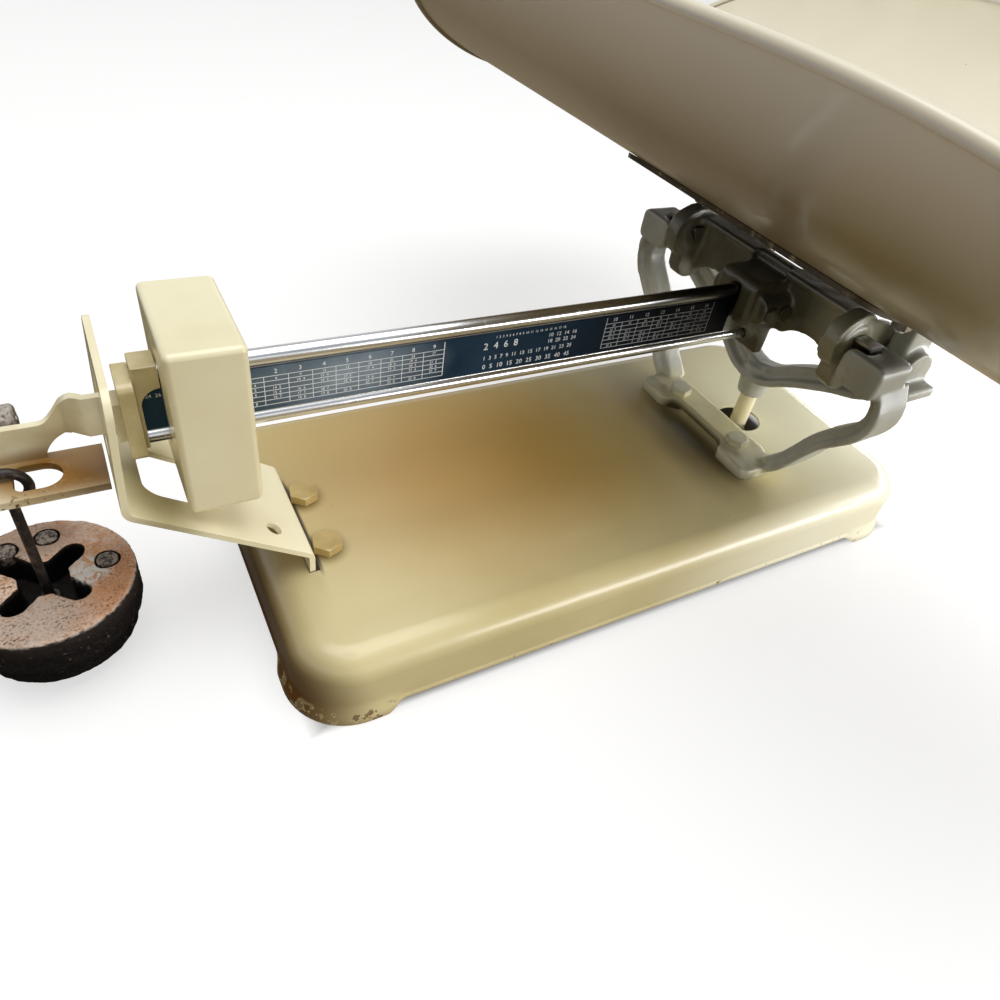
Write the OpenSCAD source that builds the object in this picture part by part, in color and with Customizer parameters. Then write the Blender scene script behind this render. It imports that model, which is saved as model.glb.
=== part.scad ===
// Beam scale for babies: a lever on knife edges carries a sliding poise and a hanging weight on its long arm,
// and a load frame with a curved tray on its short arm. A check link inside the base keeps the tray level.
// X runs along the beam towards the tray, Y across, Z up from the surface that the base stands on.

/* [Base] */
// Length of the base along the beam
base_l = 363; // [330:1:400]
// Width of the base
base_w = 169.5; // [150:0.5:190]
// Height of the base's top
base_h = 36.25; // [32:0.25:42]
// Thickness of the base's pressed sheet
base_t = 1.6; // [1:0.1:2.4]
// Corner radius of the base
base_corner = 26; // [20:1:34]
// Radius of the pressed round along the top
base_round = 12.5; // [8:0.5:16]
// How far each corner foot flares out
foot_flare = 3; // [1.5:0.5:5]
// Reach of each foot along the wall
foot_reach = 38; // [34:1:60]
// Height of the flare above the floor
foot_rise = 11; // [8:0.5:14]
// Gap between the floor and the skirt between the feet
skirt_gap = 4; // [2:0.5:6]

/* [Loop bracket] */
// Sheet thickness of the bracket
bracket_t = 2.5; // [2:0.25:3]
// Width of the bracket
bracket_w = 60; // [54:1:70]
// Width of each leg and of the loop's sides
leg_w = 16; // [10:1:20]
// Distance of the bracket's riser from the base's left end
riser_in = 20.5; // [18:0.5:30]
// Height of the riser's upper bend above the base
riser_h = 9.75; // [7:0.25:14]
// Distance of the loop's plane beyond the base's left end
loop_out = 42.5; // [38:0.5:50]
// Height of the lower bend of the loop
loop_bend_z = 90; // [84:0.5:92]
// How far the loop leans towards the base between its bend and its top
loop_lean = 3.5; // [0:0.5:5]
// Height of the loop's top
loop_top_z = 139.5; // [134:0.5:144]
// Height of the bar over the loop's window
loop_bar = 8.5; // [6:0.5:9]
// Corner radius at the loop's top
loop_r = 9; // [4:0.5:14]
// Diameter of the hole in the bracket's incline
bracket_hole_d = 6.9; // [4:0.1:9]

/* [Lever] */
// Distance of the fulcrum from the middle of the base
fulcrum_x = 86.6; // [80:0.2:94]
// Height of the fulcrum and of the load knife edges
fulcrum_z = 128; // [126:0.5:132]
// Length of the short arm, from the fulcrum to the load knife edges
load_arm = 29.4; // [28:0.2:34]
// Width of a knife edge across its shoulders
knife_w = 8; // [6:0.5:8.5]
// Depth of a knife edge from its edge to its back
knife_d = 8; // [7.5:0.5:10]
// Distance from the middle plane to the inner face of a lever cheek
cheek_y = 55; // [50:0.5:55.5]
// Thickness of a lever cheek
cheek_t = 9; // [7:0.5:9.5]

/* [Beam] */
// Height of the beam over both rails
beam_h = 33; // [30:0.5:35]
// Diameter of each round rail
rail_d = 6.6; // [6:0.1:8]
// Thickness of the beam's web between the plates
beam_web = 3.6; // [2.6:0.2:4]
// Thickness of a printed plate
plate_t = 0.8; // [0.6:0.1:1]
// How far the beam's middle lies under the knife edges
beam_drop = 13.2; // [12:0.2:14]
// Distance of the beam's left end from the loop's plane
beam_gap = 10.6; // [9:0.2:14]
// Depth of the beam's seat in the hub
seat_l = 22; // [16:1:22]

/* [Beam end] */
// Length of the end cap
cap_l = 8.6; // [6:0.2:12]
// Sheet thickness of the end cap
cap_t = 2; // [1.2:0.2:3]
// Thickness of the end plate
end_plate_t = 5.5; // [4:0.5:7]
// Sheet thickness of the tip
tip_t = 3; // [2:0.25:4]
// Length of the tip beyond the loop's plane
tip_l = 39.5; // [38:0.5:44]
// Height of the top of the tip's shelf
shelf_z = 92.5; // [91.5:0.5:94]
// Width of the shelf
shelf_w = 24; // [22:0.5:28]
// Length of the slot in the shelf
slot_l = 16; // [15:0.5:18]
// Width of the slot in the shelf
slot_w = 14; // [12:0.5:15]

/* [Poise] */
// Length of the poise along the beam
poise_l = 27; // [20:0.5:32]
// Width of the poise across the beam
poise_w = 53; // [44:1:60]
// Height of the poise
poise_h = 68.5; // [60:0.5:72]
// Round on the poise's edges
poise_r = 2.5; // [2:0.5:5]
// How far the poise reaches above the beam
poise_above = 18; // [14:0.5:20]

/* [Weight] */
// Diameter of the hanging weight
weight_d = 68; // [60:1:72]
// Height of the hanging weight
weight_h = 30.5; // [26:0.5:32]
// Gap between the weight and the floor
weight_gap = 10.5; // [8:0.5:13]
// Height of the weight's wider upper tier
tier_h = 19; // [12:0.5:22]
// Step between the tiers
tier_step = 4; // [1:0.2:5]
// Depth of the lobed recess
recess_depth = 14; // [8:0.5:18]
// Number of lobes in the recess
lobes = 4; // [3:1:6]
// Reach of the lobes from the middle
lobe_reach = 16; // [12:0.5:19]
// Radius of each lobe
lobe_r = 4.5; // [3:0.25:5]
// Diameter of the hook's wire
wire_d = 3.8; // [3:0.2:4.4]
// Radius of the hook's crook at the middle of the wire
crook_r = 7; // [6.5:0.25:7.5]

/* [Stand] */
// Thickness of the stand's foot
foot_t = 7; // [5:0.5:8]
// Length of the stand's foot across the base
foot_l = 98; // [90:1:104]
// Width of the foot's pads
pad_w = 27; // [22:1:28]
// Distance between the stand's bolts
stand_pitch = 52; // [44:1:58]
// Distance of the bearing heads' inner faces from the middle plane
head_in = 67; // [66.5:0.5:70]
// Distance of the bearing heads' outer faces from the middle plane
head_out = 90; // [88:0.5:93]
// Thickness of the stand's arms along X
arm_w = 12; // [8:0.5:14]
// Width of the arm's outer flange along X
flange_w = 20; // [14:0.5:21]
// Lean of the arms towards the beam in degrees
arm_lean = 4; // [3:0.5:6]

/* [Load frame] */
// Diameter of the stem
stem_d = 10; // [8:0.5:12]
// Diameter of the hole in the base for the stem
stem_hole_d = 26; // [22:1:34]
// Height of the crotch where the arms meet the stem
crotch_z = 70; // [62:1:76]
// Thickness of the frame's arms along X
spider_w = 11; // [7:0.5:12]
// Height of the check link's pins
link_z = 16; // [13:0.5:18]
// Diameter of the check link's pins
pin_d = 5; // [4:0.5:6]

/* [Tray] */
// Length of the tray
tray_l = 584; // [575:1:640]
// Width of the tray
tray_w = 300; // [280:1:310]
// Outer radius of the tray's curve
tray_r = 165; // [160:1:180]
// Sheet thickness of the tray
tray_t = 1.5; // [1:0.1:2.5]
// Radius of the rolled rim
rim_r = 2.6; // [2:0.1:4]
// Roundness of the tray's outline, higher is squarer
tray_power = 4; // [2.5:0.1:6]
// Length of the saddle under the tray
saddle_l = 172; // [160:1:200]
// Width of the saddle
saddle_w = 140; // [110:1:160]
// Sheet thickness of the saddle
saddle_t = 2.25; // [2:0.25:4]

/* [Fits] */
// Gap between pieces that seat on each other
seat = 0.3; // [0.2:0.05:0.4]
// Radial clearance of a pin in its bore
pin_fit = 0.06; // [0.02:0.01:0.1]

/* [Hidden] */
$fn = 48;
cream = "#E6DCB4";
cream_shade = "#CFC49C";
casting_grey = "#B3AF9C";
bright = "#C9CCD0";
navy = "#14222C";
steel_dark = "#4A4744";
iron_brown = "#8B6F62";
wire_black = "#2A2422";

// Axis positions that everything else follows
base_left = -base_l / 2;
loop_x = base_left - loop_out;
load_x = fulcrum_x + load_arm;
beam_z = fulcrum_z - beam_drop;
beam_top = beam_z + beam_h / 2;
beam_low = beam_z - beam_h / 2;
beam_left = loop_x + beam_gap;
hub_left = fulcrum_x - 17;
beam_right = hub_left + seat_l;
rail_inner = beam_h / 2 - rail_d;
plate_y = beam_web / 2 + plate_t;
plate_h = 2 * rail_inner - 2 * seat;
screw_x = [hub_left + 10, hub_left + 19];
screw_z = beam_z + 7.3;
screw_seat = 18.5;
screw_head_d = 8;

// The tray's curve and its outline
tray_z = fulcrum_z + 190;
tray_low = tray_z - tray_r;
saddle_out = tray_r + seat + saddle_t;
saddle_low = tray_z - saddle_out;

// The tip, its slot and the hanging point
tip_end = loop_x - tip_l;
bridge_w = 5.5;
slot_left = tip_end + bridge_w;
web_y = 8.5;
web_in_y = 2;
shelf_low_y = web_y + tip_t - shelf_w;
slot_y = -1;
shelf_right = loop_x - loop_lean / 2 - bracket_t / 2 - 3 * seat;
hang_x = tip_end + bridge_w / 2;
hang_z = shelf_z - sqrt(pow(crook_r - wire_d / 2 - seat, 2) - pow(bridge_w / 2, 2));
end_plate_w = 18;
tip_low = fulcrum_z - 24.7;
tip_high = fulcrum_z - 8.5;
web_outer_h = 14.5;
balance_d = 4;
balance_y = 18.5;
balance_z = shelf_z + 11.5;
lug_out = 5;
joggle_l = 8;

// The poise's place on the beam
poise_left = beam_left + cap_l + seat;
poise_low = beam_top + poise_above - poise_h;
window_half = 9;
pass_w = rail_d + 2 * seat;

// The weight
weight_top = weight_gap + weight_h;

// The bracket's folded path, at the middle of its sheet
riser_x = base_left + riser_in;
flange_l = 20;
flange_z = base_h - base_t - bracket_t / 2;
bracket_bolt_x = riser_x + 10.4;
bracket_pitch = 35;
bracket_bend_r = 3;
window_w = bracket_w - 2 * leg_w;
window_z = tip_low - seat;
window_top = loop_top_z - loop_bar;

// The stand's heads, the knife edges and their bearings
head_w = 21;
head_low = fulcrum_z - 11.5;
head_top = fulcrum_z + 5.5;
bearing_w = 11;
bearing_low = fulcrum_z - 6;
bearing_top = fulcrum_z + 3.5;
bearing_t = 9;
bearing_out = head_in + bearing_t;
knife_in = cheek_y - 3;
knife_out = bearing_out - 1;
vee_half = 52;
knife_gap = 0.25;
stand_pad_l = 26;
pad_boss_d = 17;
pad_boss_h = 1;
foot_waist = 19;
foot_lift = 2.5;

// The load frame's posts and heads
post_w = 18;
post_out = bearing_out + 1.5;
pocket_low = fulcrum_z - knife_d - 3;
load_bearing_top = fulcrum_z + 11;
bulb_r = 10.5;
bulb_z = fulcrum_z - 7;
bulb_out = 82.5;
stem_top = crotch_z - 5;
ear_t = 4;
ear_reach = 21;
ear_z = saddle_low - seat - ear_t;
tray_bolt_x = 15;
tray_bolt_y = (head_in + post_out) / 2;
link_t = 6;
clevis_t = 4;
ear_gap = link_t / 2 + seat;

// Fasteners
bolt_d = 6.35;
hex_af = 12.7;
hex_h = 4.5;
stand_af = 11.1;
stand_head_h = 4;
nut_h = 5.5;
bolt_past = 1.75;
small_bolt_d = 5;
small_af = 8;
small_nut_h = 4;

// The whole object's reach, which puts the origin at the middle of its footprint
weight_x = hang_x;
reach_left = min(weight_x - weight_d / 2, weight_x - crook_r - wire_d / 2);
reach_right = load_x + tray_w / 2 + rim_r;
middle_x = (reach_left + reach_right) / 2;

// Puts the drawing's origin, at the middle of the base, into the object's own frame
module place() {
    translate([-middle_x, 0, 0]) children();
}

// Repeats a piece on the far side of the middle plane
module both_sides() {
    children();
    mirror([0, 1, 0]) children();
}

// Stands an XZ outline up and gives it a thickness along Y
module upright(from_y, to_y) {
    translate([0, to_y, 0]) rotate([90, 0, 0]) linear_extrude(to_y - from_y) children();
}

// Stands a YZ outline up and gives it a thickness along X
module sideways(from_x, to_x) {
    translate([from_x, 0, 0]) rotate([90, 0, 90]) linear_extrude(to_x - from_x) children();
}

module rounded_rect(l, w, r) {
    square([l - 2 * r, w], center = true);
    square([l, w - 2 * r], center = true);
    for (x = [-1, 1], y = [-1, 1]) translate([x * (l / 2 - r), y * (w / 2 - r)]) circle(r = r);
}

// A flat band that follows a path, as wide as given at each point
function unit(v) = v / norm(v);
function along(path, i) = unit(path[min(i + 1, len(path) - 1)] - path[max(i - 1, 0)]);
function beside(path, i, s) = path[i] + s * [-along(path, i)[1], along(path, i)[0]];
function band(path, left, right) = concat(
    [for (i = [0:len(path) - 1]) beside(path, i, left)],
    [for (i = [len(path) - 1:-1:0]) beside(path, i, -right)]);

// Points of a smooth curve through the given knots
function spline_point(a, b, c, d, t) = 0.5 * ((2 * b) + (c - a) * t + (2 * a - 5 * b + 4 * c - d) * t * t
    + (3 * b - a - 3 * c + d) * t * t * t);
function spline(knots, steps) = [for (i = [0:len(knots) - 2], s = [0:steps - 1 + (i == len(knots) - 2 ? 1 : 0)])
    spline_point(knots[max(i - 1, 0)], knots[i], knots[i + 1], knots[min(i + 2, len(knots) - 1)], s / steps)];

// Rounds one bend of a folded sheet: points on an arc between two legs
function bend(p, q, r, radius, steps) = let (
    u = unit(p - q),
    v = unit(r - q),
    half = acos(u * v) / 2,
    back = radius / tan(half),
    middle = q + unit(u + v) * radius / sin(half),
    start = q + u * back - middle,
    turn = sign(start[0] * (q + v * back - middle)[1] - start[1] * (q + v * back - middle)[0]) * (180 - 2 * half)
) [for (k = [0:steps]) let (a = turn * k / steps)
    middle + [start[0] * cos(a) - start[1] * sin(a), start[0] * sin(a) + start[1] * cos(a)]];

// The base
module arch_profile(w, h, r) {
    translate([-w / 2, 0]) square([w, h - r]);
    translate([-w / 2 + r, 0]) square([w - 2 * r, h]);
    for (x = [-1, 1]) translate([x * (w / 2 - r), h - r]) circle(r = r);
}

module half_profile(w, h, r) {
    intersection() {
        arch_profile(2 * w, h, r);
        square([w, h]);
    }
}

module pressed_block(l, w, h, corner, round) {
    rotate([90, 0, 90]) translate([0, 0, -l / 2 + corner]) linear_extrude(l - 2 * corner) arch_profile(w, h, round);
    rotate([90, 0, 0]) translate([0, 0, -w / 2 + corner]) linear_extrude(w - 2 * corner) arch_profile(l, h, round);
    for (x = [-1, 1], y = [-1, 1])
        translate([x * (l / 2 - corner), y * (w / 2 - corner), 0]) rotate_extrude() half_profile(corner, h, round);
}

// Outline of a corner foot's sheet, measured outwards from the middle of the corner
function foot_outline() = let (
    out = base_corner + foot_flare,
    swell = [for (k = [0:6]) [base_corner + foot_flare * (1 - cos(180 * k / 6)) / 2, foot_rise * (1 - k / 7)]]
) concat([[base_corner - base_t, foot_rise]], swell, [[out, 0], [out - base_t - 0.4, 0]],
    [for (k = [5:-1:1]) [swell[k][0] - base_t, swell[k][1] - 0.6]]);

module corner_foot() {
    straight = foot_reach - base_corner - foot_flare;
    rotate_extrude(angle = 90) polygon(foot_outline());
    rotate([90, 0, 0]) linear_extrude(straight) polygon(foot_outline());
    translate([-straight, 0, 0]) rotate([90, 0, 90]) linear_extrude(straight) polygon(foot_outline());
}

module base_shell() {
    bead = 1.4;
    place() color(cream) {
        difference() {
            union() {
                translate([0, 0, skirt_gap]) pressed_block(base_l, base_w, base_h - skirt_gap, base_corner, base_round);
                translate([0, 0, skirt_gap]) linear_extrude(bead * 2)
                    rounded_rect(base_l + bead, base_w + bead, base_corner + bead / 2);
            }
            translate([0, 0, -1]) pressed_block(base_l - 2 * base_t, base_w - 2 * base_t, base_h - base_t + 1,
                base_corner - base_t, base_round - base_t);
            // Slit for the bracket's riser, wide enough for the bend under the top
            translate([riser_x - bracket_t / 2 - seat, -bracket_w / 2 - seat, base_h - 2 * base_t])
                cube([bracket_t / 2 + bracket_bend_r + 2 * seat, bracket_w + 2 * seat, 4 * base_t]);
            for (y = [-1, 1]) translate([bracket_bolt_x, y * bracket_pitch / 2, base_h - 2 * base_t])
                cylinder(d = bolt_d + 2 * seat, h = 4 * base_t);
            for (y = [-1, 1]) translate([fulcrum_x, y * stand_pitch / 2, base_h - 2 * base_t])
                cylinder(d = bolt_d + 2 * seat, h = 4 * base_t);
            translate([load_x, 0, base_h - 2 * base_t]) cylinder(d = stem_hole_d, h = 4 * base_t);
        }
        for (x = [0, 1], y = [0, 1]) mirror([x, 0, 0]) mirror([0, y, 0])
            translate([base_l / 2 - base_corner, base_w / 2 - base_corner, 0]) corner_foot();
    }
}

// A hexagonal fastener: head or nut, and a shank
module hexagon(af, h) {
    intersection() {
        cylinder(d = af / cos(30), h = h, $fn = 6);
        translate([0, 0, -1]) rotate_extrude() polygon([[0, 0], [af / 2 + 0.9, 0], [af / 2 + 0.9, h + 0.5],
            [af / 2 - 0.3, h + 1], [0, h + 1]]);
    }
}

module bolt(af, head, d, length) {
    hexagon(af, head);
    translate([0, 0, -length]) cylinder(d = d, h = length);
}

module nut(af, h, d) {
    difference() {
        hexagon(af, h);
        translate([0, 0, -1]) cylinder(d = d, h = h + 2);
    }
}

// The loop bracket
function bracket_path() = let (
    a = [riser_x + flange_l, flange_z],
    b = [riser_x, flange_z],
    c = [riser_x, base_h + riser_h],
    d = [loop_x - loop_lean / 2, loop_bend_z],
    e = [loop_x + loop_lean / 2, loop_top_z]
) concat([a], bend(a, b, c, bracket_bend_r, 6), bend(b, c, d, bracket_bend_r, 6), bend(c, d, e, 5, 6), [e]);

module loop_bracket() {
    incline_end = riser_x - 36;
    hole_in = 13;
    hole_y = 18.2;
    slope = (loop_bend_z - base_h - riser_h) / (riser_x - loop_x + loop_lean / 2);
    place() color(cream) difference() {
        intersection() {
            upright(-bracket_w / 2, bracket_w / 2) polygon(band(bracket_path(), bracket_t / 2, bracket_t / 2));
            sideways(loop_x - 2 * bracket_t, riser_x + flange_l + 1) {
                translate([0, loop_top_z / 2]) rounded_rect(bracket_w, loop_top_z, loop_r);
                translate([-bracket_w / 2, 0]) square([bracket_w, loop_bend_z]);
            }
        }
        // Window of the upright loop
        sideways(loop_x - 2 * bracket_t, loop_x + 2 * bracket_t)
            translate([0, (window_z + window_top) / 2]) rounded_rect(window_w, window_top - window_z, 5);
        // Window of the incline
        translate([0, 0, base_h + riser_h]) linear_extrude(loop_bend_z - base_h)
            translate([(loop_x + 6 + incline_end) / 2, 0])
            rounded_rect(incline_end - loop_x - 6, window_w, 6);
        translate([riser_x - hole_in, -hole_y, base_h + riser_h + hole_in * slope])
            rotate([0, atan(slope), 0]) cylinder(d = bracket_hole_d, h = 6 * bracket_t, center = true);
        for (y = [-1, 1]) translate([bracket_bolt_x, y * bracket_pitch / 2, flange_z - bracket_t])
            cylinder(d = bolt_d + 2 * pin_fit, h = 2 * bracket_t);
    }
}

module bracket_bolts() {
    place() color(cream_shade) for (y = [-1, 1])
        translate([bracket_bolt_x, y * bracket_pitch / 2, base_h]) rotate(20)
        bolt(hex_af, hex_h, bolt_d, base_t + bracket_t + nut_h + bolt_past);
}

module bracket_nuts() {
    place() color(steel_dark) for (y = [-1, 1])
        translate([bracket_bolt_x, y * bracket_pitch / 2, base_h - base_t - bracket_t - nut_h])
        nut(hex_af, nut_h, bolt_d + 2 * pin_fit);
}

// The stand: a waisted foot, two arms that sweep out and up, and a bearing head on each
function arm_path() = spline([[foot_l / 2 - 6, 5], [foot_l / 2 + 5, 18], [foot_l / 2 + 20, 43], [head_out - 5.5, 60],
    [head_out - 1.5, head_low - base_h - 8], [head_out - 6, head_low - base_h + 4]], 6);

// The arms stand behind the foot's middle and lean back to the heads
module arm() {
    path = arm_path();
    translate([fulcrum_x + 11, 0, base_h]) rotate([0, -arm_lean, 0]) {
        sideways(-arm_w / 2, arm_w / 2) polygon(band(path, 3, 5));
        sideways(-flange_w / 2, flange_w / 2) polygon(band(path, -2, 6));
    }
}

module vee_groove(top) {
    reach = 12;
    upright(-100, 100) polygon([[0, 0], [reach * tan(vee_half), top * reach], [-reach * tan(vee_half), top * reach]]);
}

module stand_foot() {
    pad_r = 6;
    translate([fulcrum_x, 0, base_h]) difference() {
        union() {
            for (y = [-1, 1]) translate([0, y * (foot_l - stand_pad_l) / 2, 0]) linear_extrude(foot_t)
                rounded_rect(pad_w, stand_pad_l, pad_r);
            translate([pad_w / 2 - foot_waist, -foot_l / 2 + stand_pad_l / 2, foot_lift])
                cube([foot_waist, foot_l - stand_pad_l, foot_t + pad_boss_h - foot_lift]);
            for (y = [-1, 1]) translate([0, y * stand_pitch / 2, 0]) cylinder(d = pad_boss_d, h = foot_t + pad_boss_h);
        }
        for (y = [-1, 1]) translate([0, y * stand_pitch / 2, -1])
            cylinder(d = bolt_d + 2 * pin_fit, h = foot_t + pad_boss_h + 3);
    }
}

module stand_yoke() {
    place() color(casting_grey) {
        stand_foot();
        both_sides() difference() {
            union() {
                arm();
                sideways(fulcrum_x - head_w / 2, fulcrum_x + head_w / 2)
                    translate([(head_in + head_out) / 2, (head_low + head_top) / 2])
                    rounded_rect(head_out - head_in, head_top - head_low, 4);
            }
            translate([fulcrum_x - bearing_w / 2, head_in - 1, bearing_low])
                cube([bearing_w, bearing_t + 1, head_top - bearing_low + 1]);
        }
    }
}

module stand_bolts() {
    place() color(casting_grey) for (y = [-1, 1])
        translate([fulcrum_x, y * stand_pitch / 2, base_h + foot_t + pad_boss_h]) rotate(10)
        bolt(stand_af, stand_head_h, bolt_d, foot_t + pad_boss_h + base_t + bracket_t + nut_h + bolt_past);
}

module stand_nuts() {
    place() color(steel_dark) for (y = [-1, 1])
        translate([fulcrum_x, y * stand_pitch / 2, base_h - base_t - bracket_t - nut_h])
        nut(stand_af, nut_h, bolt_d + 2 * pin_fit);
}

module fulcrum_bearings() {
    place() color(steel_dark) both_sides() difference() {
        translate([fulcrum_x - bearing_w / 2, head_in, bearing_low])
            cube([bearing_w, bearing_t, bearing_top - bearing_low]);
        translate([fulcrum_x, 0, fulcrum_z - knife_gap]) vee_groove(1);
    }
}

// The check link's bracket hangs under the base's top, held by the stand's bolts
module link_bracket() {
    top = base_h - base_t;
    place() color(casting_grey) difference() {
        union() {
            translate([fulcrum_x - 9, -stand_pitch / 2 - 9, top - bracket_t]) cube([18, stand_pitch + 18, bracket_t]);
            both_sides() upright(ear_gap, ear_gap + clevis_t) {
                translate([fulcrum_x - 6, link_z]) square([12, top - bracket_t - link_z]);
                translate([fulcrum_x, link_z]) circle(r = 6);
            }
        }
        for (y = [-1, 1]) translate([fulcrum_x, y * stand_pitch / 2, top - 2 * bracket_t])
            cylinder(d = bolt_d + 2 * pin_fit, h = 3 * bracket_t);
        translate([fulcrum_x, 0, link_z]) rotate([90, 0, 0])
            cylinder(d = pin_d + 2 * pin_fit, h = 40, center = true);
    }
}

module headed_pin(x) {
    half = ear_gap + clevis_t + seat;
    translate([x, 0, link_z]) rotate([90, 0, 0]) {
        cylinder(d = pin_d, h = 2 * half + 1, center = true);
        for (s = [-1, 1]) translate([0, 0, s * (half + 0.75)]) cylinder(d = pin_d + 2.5, h = 1.5, center = true);
    }
}

module link_pin() {
    place() color(steel_dark) headed_pin(fulcrum_x);
}

// The lever casting: a hub for the beam, a flanged cross web, and two lobed cheeks that hold the knife edges
module knife_section(w, d) {
    polygon([[0, 0], [w / 2, w / 2 / tan(32)], [w / 2, d], [-w / 2, d], [-w / 2, w / 2 / tan(32)]]);
}

module cheek_outline() {
    translate([fulcrum_x, fulcrum_z + 3]) circle(r = 14);
    translate([load_x, fulcrum_z - 3]) circle(r = 12);
    translate([fulcrum_x + 4, fulcrum_z - 13]) circle(r = 10);
    translate([fulcrum_x + 2, fulcrum_z + 8]) circle(r = 10);
    polygon([[fulcrum_x, fulcrum_z + 15], [fulcrum_x + 8, fulcrum_z + 15], [load_x + 1, fulcrum_z + 8.5],
        [load_x + 4, fulcrum_z - 14], [fulcrum_x + 4, fulcrum_z - 22], [fulcrum_x - 6, fulcrum_z - 10]]);
}

module knife_bar(d) {
    both_sides() upright(knife_in, knife_out) knife_section(knife_w, d);
}

// Side view of the hub, which reaches over the beam's end like a claw
module hub_outline(right) {
    claw_r = 18;
    top = beam_top + 5;
    low = beam_low - 4;
    difference() {
        polygon([[hub_left + 3, top], [right, top], [right, low], [hub_left, low], [hub_left, top - 3]]);
        translate([hub_left, low]) circle(r = claw_r);
    }
}

module lever_casting() {
    web_x = fulcrum_x + 6;
    web_t = 6;
    web_top = fulcrum_z + 14;
    web_low = fulcrum_z - 18;
    hub_half = 13;
    place() color(casting_grey) difference() {
        union() {
            both_sides() upright(cheek_y, cheek_y + cheek_t) cheek_outline();
            both_sides() translate([fulcrum_x, cheek_y + cheek_t + 1.5, fulcrum_z + 4]) rotate([90, 0, 0])
                cylinder(d = 17, h = cheek_t + 3);
            // Cross web, arched under each side
            sideways(web_x, web_x + web_t) difference() {
                translate([-cheek_y, web_low]) square([2 * cheek_y, web_top - web_low]);
                for (y = [-1, 1]) translate([y * 36, web_low - 18]) circle(r = 25);
            }
            // Flange along the web's upper edge
            both_sides() translate([web_x - 5, hub_half - 1, web_top - 4]) cube([web_t + 10, cheek_y - hub_half + 1, 4]);
            // Hub over the beam's end, with a round on each side
            upright(-hub_half, hub_half) hub_outline(web_x + 1);
            both_sides() translate([hub_left + 5, hub_half, beam_z + 8]) rotate([0, 90, 0])
                cylinder(d = 15, h = web_x - hub_left - 4);
        }
        translate([hub_left - 1, -rail_d / 2, beam_low]) cube([seat_l + 1, rail_d, beam_h]);
        translate([fulcrum_x, 0, fulcrum_z]) knife_bar(knife_d);
        translate([load_x, 0, fulcrum_z]) mirror([0, 0, 1]) knife_bar(knife_d);
        for (x = screw_x) translate([x, 0, screw_z]) rotate([90, 0, 0]) {
            cylinder(d = small_bolt_d, h = screw_seat + 1);
            translate([0, 0, screw_seat]) cylinder(d = screw_head_d + 2 * seat, h = 10);
        }
    }
}

module fulcrum_knives() {
    place() color(bright) translate([fulcrum_x, 0, fulcrum_z]) knife_bar(knife_d);
}

module load_knives() {
    place() color(bright) translate([load_x, 0, fulcrum_z]) mirror([0, 0, 1]) knife_bar(knife_d);
}

// The beam: two round rails joined by a web, with a plate let in on each side
module beam_bar() {
    place() color(bright) sideways(beam_left, beam_right) {
        for (z = [-1, 1]) translate([0, beam_z + z * (beam_h - rail_d) / 2]) circle(d = rail_d);
        translate([-beam_web / 2, beam_z - rail_inner - 1]) square([beam_web, 2 * rail_inner + 2]);
    }
}

module beam_plate(side) {
    low = side > 0 ? beam_web / 2 : -plate_y;
    translate([beam_left, low, beam_z - plate_h / 2]) cube([hub_left - seat - beam_left, plate_t, plate_h]);
}

module near_plate() {
    place() color(navy) beam_plate(-1);
}

module far_plate() {
    place() color(navy) beam_plate(1);
}

module hub_screws() {
    place() color(steel_dark) for (x = screw_x) translate([x, 0, screw_z]) rotate([90, 0, 0]) {
        translate([0, 0, beam_web / 2]) cylinder(d = small_bolt_d, h = screw_seat + 1 - beam_web / 2);
        translate([0, 0, screw_seat]) cylinder(d = screw_head_d, h = 2.5);
    }
}

// The beam's end: a cap over the top, an end plate, and the folded tip with the weight's slot
module beam_end_cap() {
    arch_r = 7.2;
    arch_drop = 7;
    wide = pass_w + 2 * cap_t;
    place() color(cream) difference() {
        translate([beam_left, -wide / 2, beam_low + 1]) cube([cap_l, wide, beam_h - 1 + cap_t + seat]);
        translate([beam_left - 1, -pass_w / 2, beam_low - 1]) cube([cap_l + 2, pass_w, beam_h + 1 + seat]);
        upright(-wide, wide) translate([beam_left + cap_l, 0]) {
            translate([0, beam_top - arch_drop - arch_r]) circle(r = arch_r);
            translate([-arch_r, beam_low - 1]) square([2 * arch_r, beam_h + 1 - arch_drop - arch_r]);
        }
    }
}

module beam_end_plate() {
    place() color(cream) difference() {
        sideways(beam_left - end_plate_t, beam_left) translate([0, beam_z - 2])
            rounded_rect(end_plate_w, beam_h - 0.5, 3);
        for (z = [-4, 4]) translate([beam_left - end_plate_t - 1, 0, (tip_low + tip_high) / 2 + z]) rotate([0, 90, 0])
            cylinder(d = 3, h = end_plate_t + 2);
    }
}

// Plan of the tip's web: along the beam's middle, a joggle, then along the shelf's far edge
function joggle_path() = [[beam_left - end_plate_t, web_in_y + tip_t / 2], [loop_x - 6, web_in_y + tip_t / 2],
    [loop_x - 6 - joggle_l, web_y + tip_t / 2], [tip_end, web_y + tip_t / 2]];

// Side view of the web: low at its outer end, with a curve up to the loop
module web_outline() {
    shelf_under = shelf_z - tip_t;
    outer_top = shelf_z + web_outer_h;
    arch = tip_low - shelf_under;
    difference() {
        union() {
            translate([tip_end, shelf_under]) square([loop_x - 12 - tip_end, outer_top - shelf_under]);
            polygon(concat([for (k = [0:8]) [loop_x - 22 + 14 * k / 8,
                outer_top + (tip_high - outer_top) * (1 - cos(180 * k / 8)) / 2]],
                [[beam_left - end_plate_t, tip_high], [beam_left - end_plate_t, tip_low],
                [loop_x - 22, tip_low]]));
        }
        translate([loop_x - 9, shelf_under]) circle(r = arch);
    }
}

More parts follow.
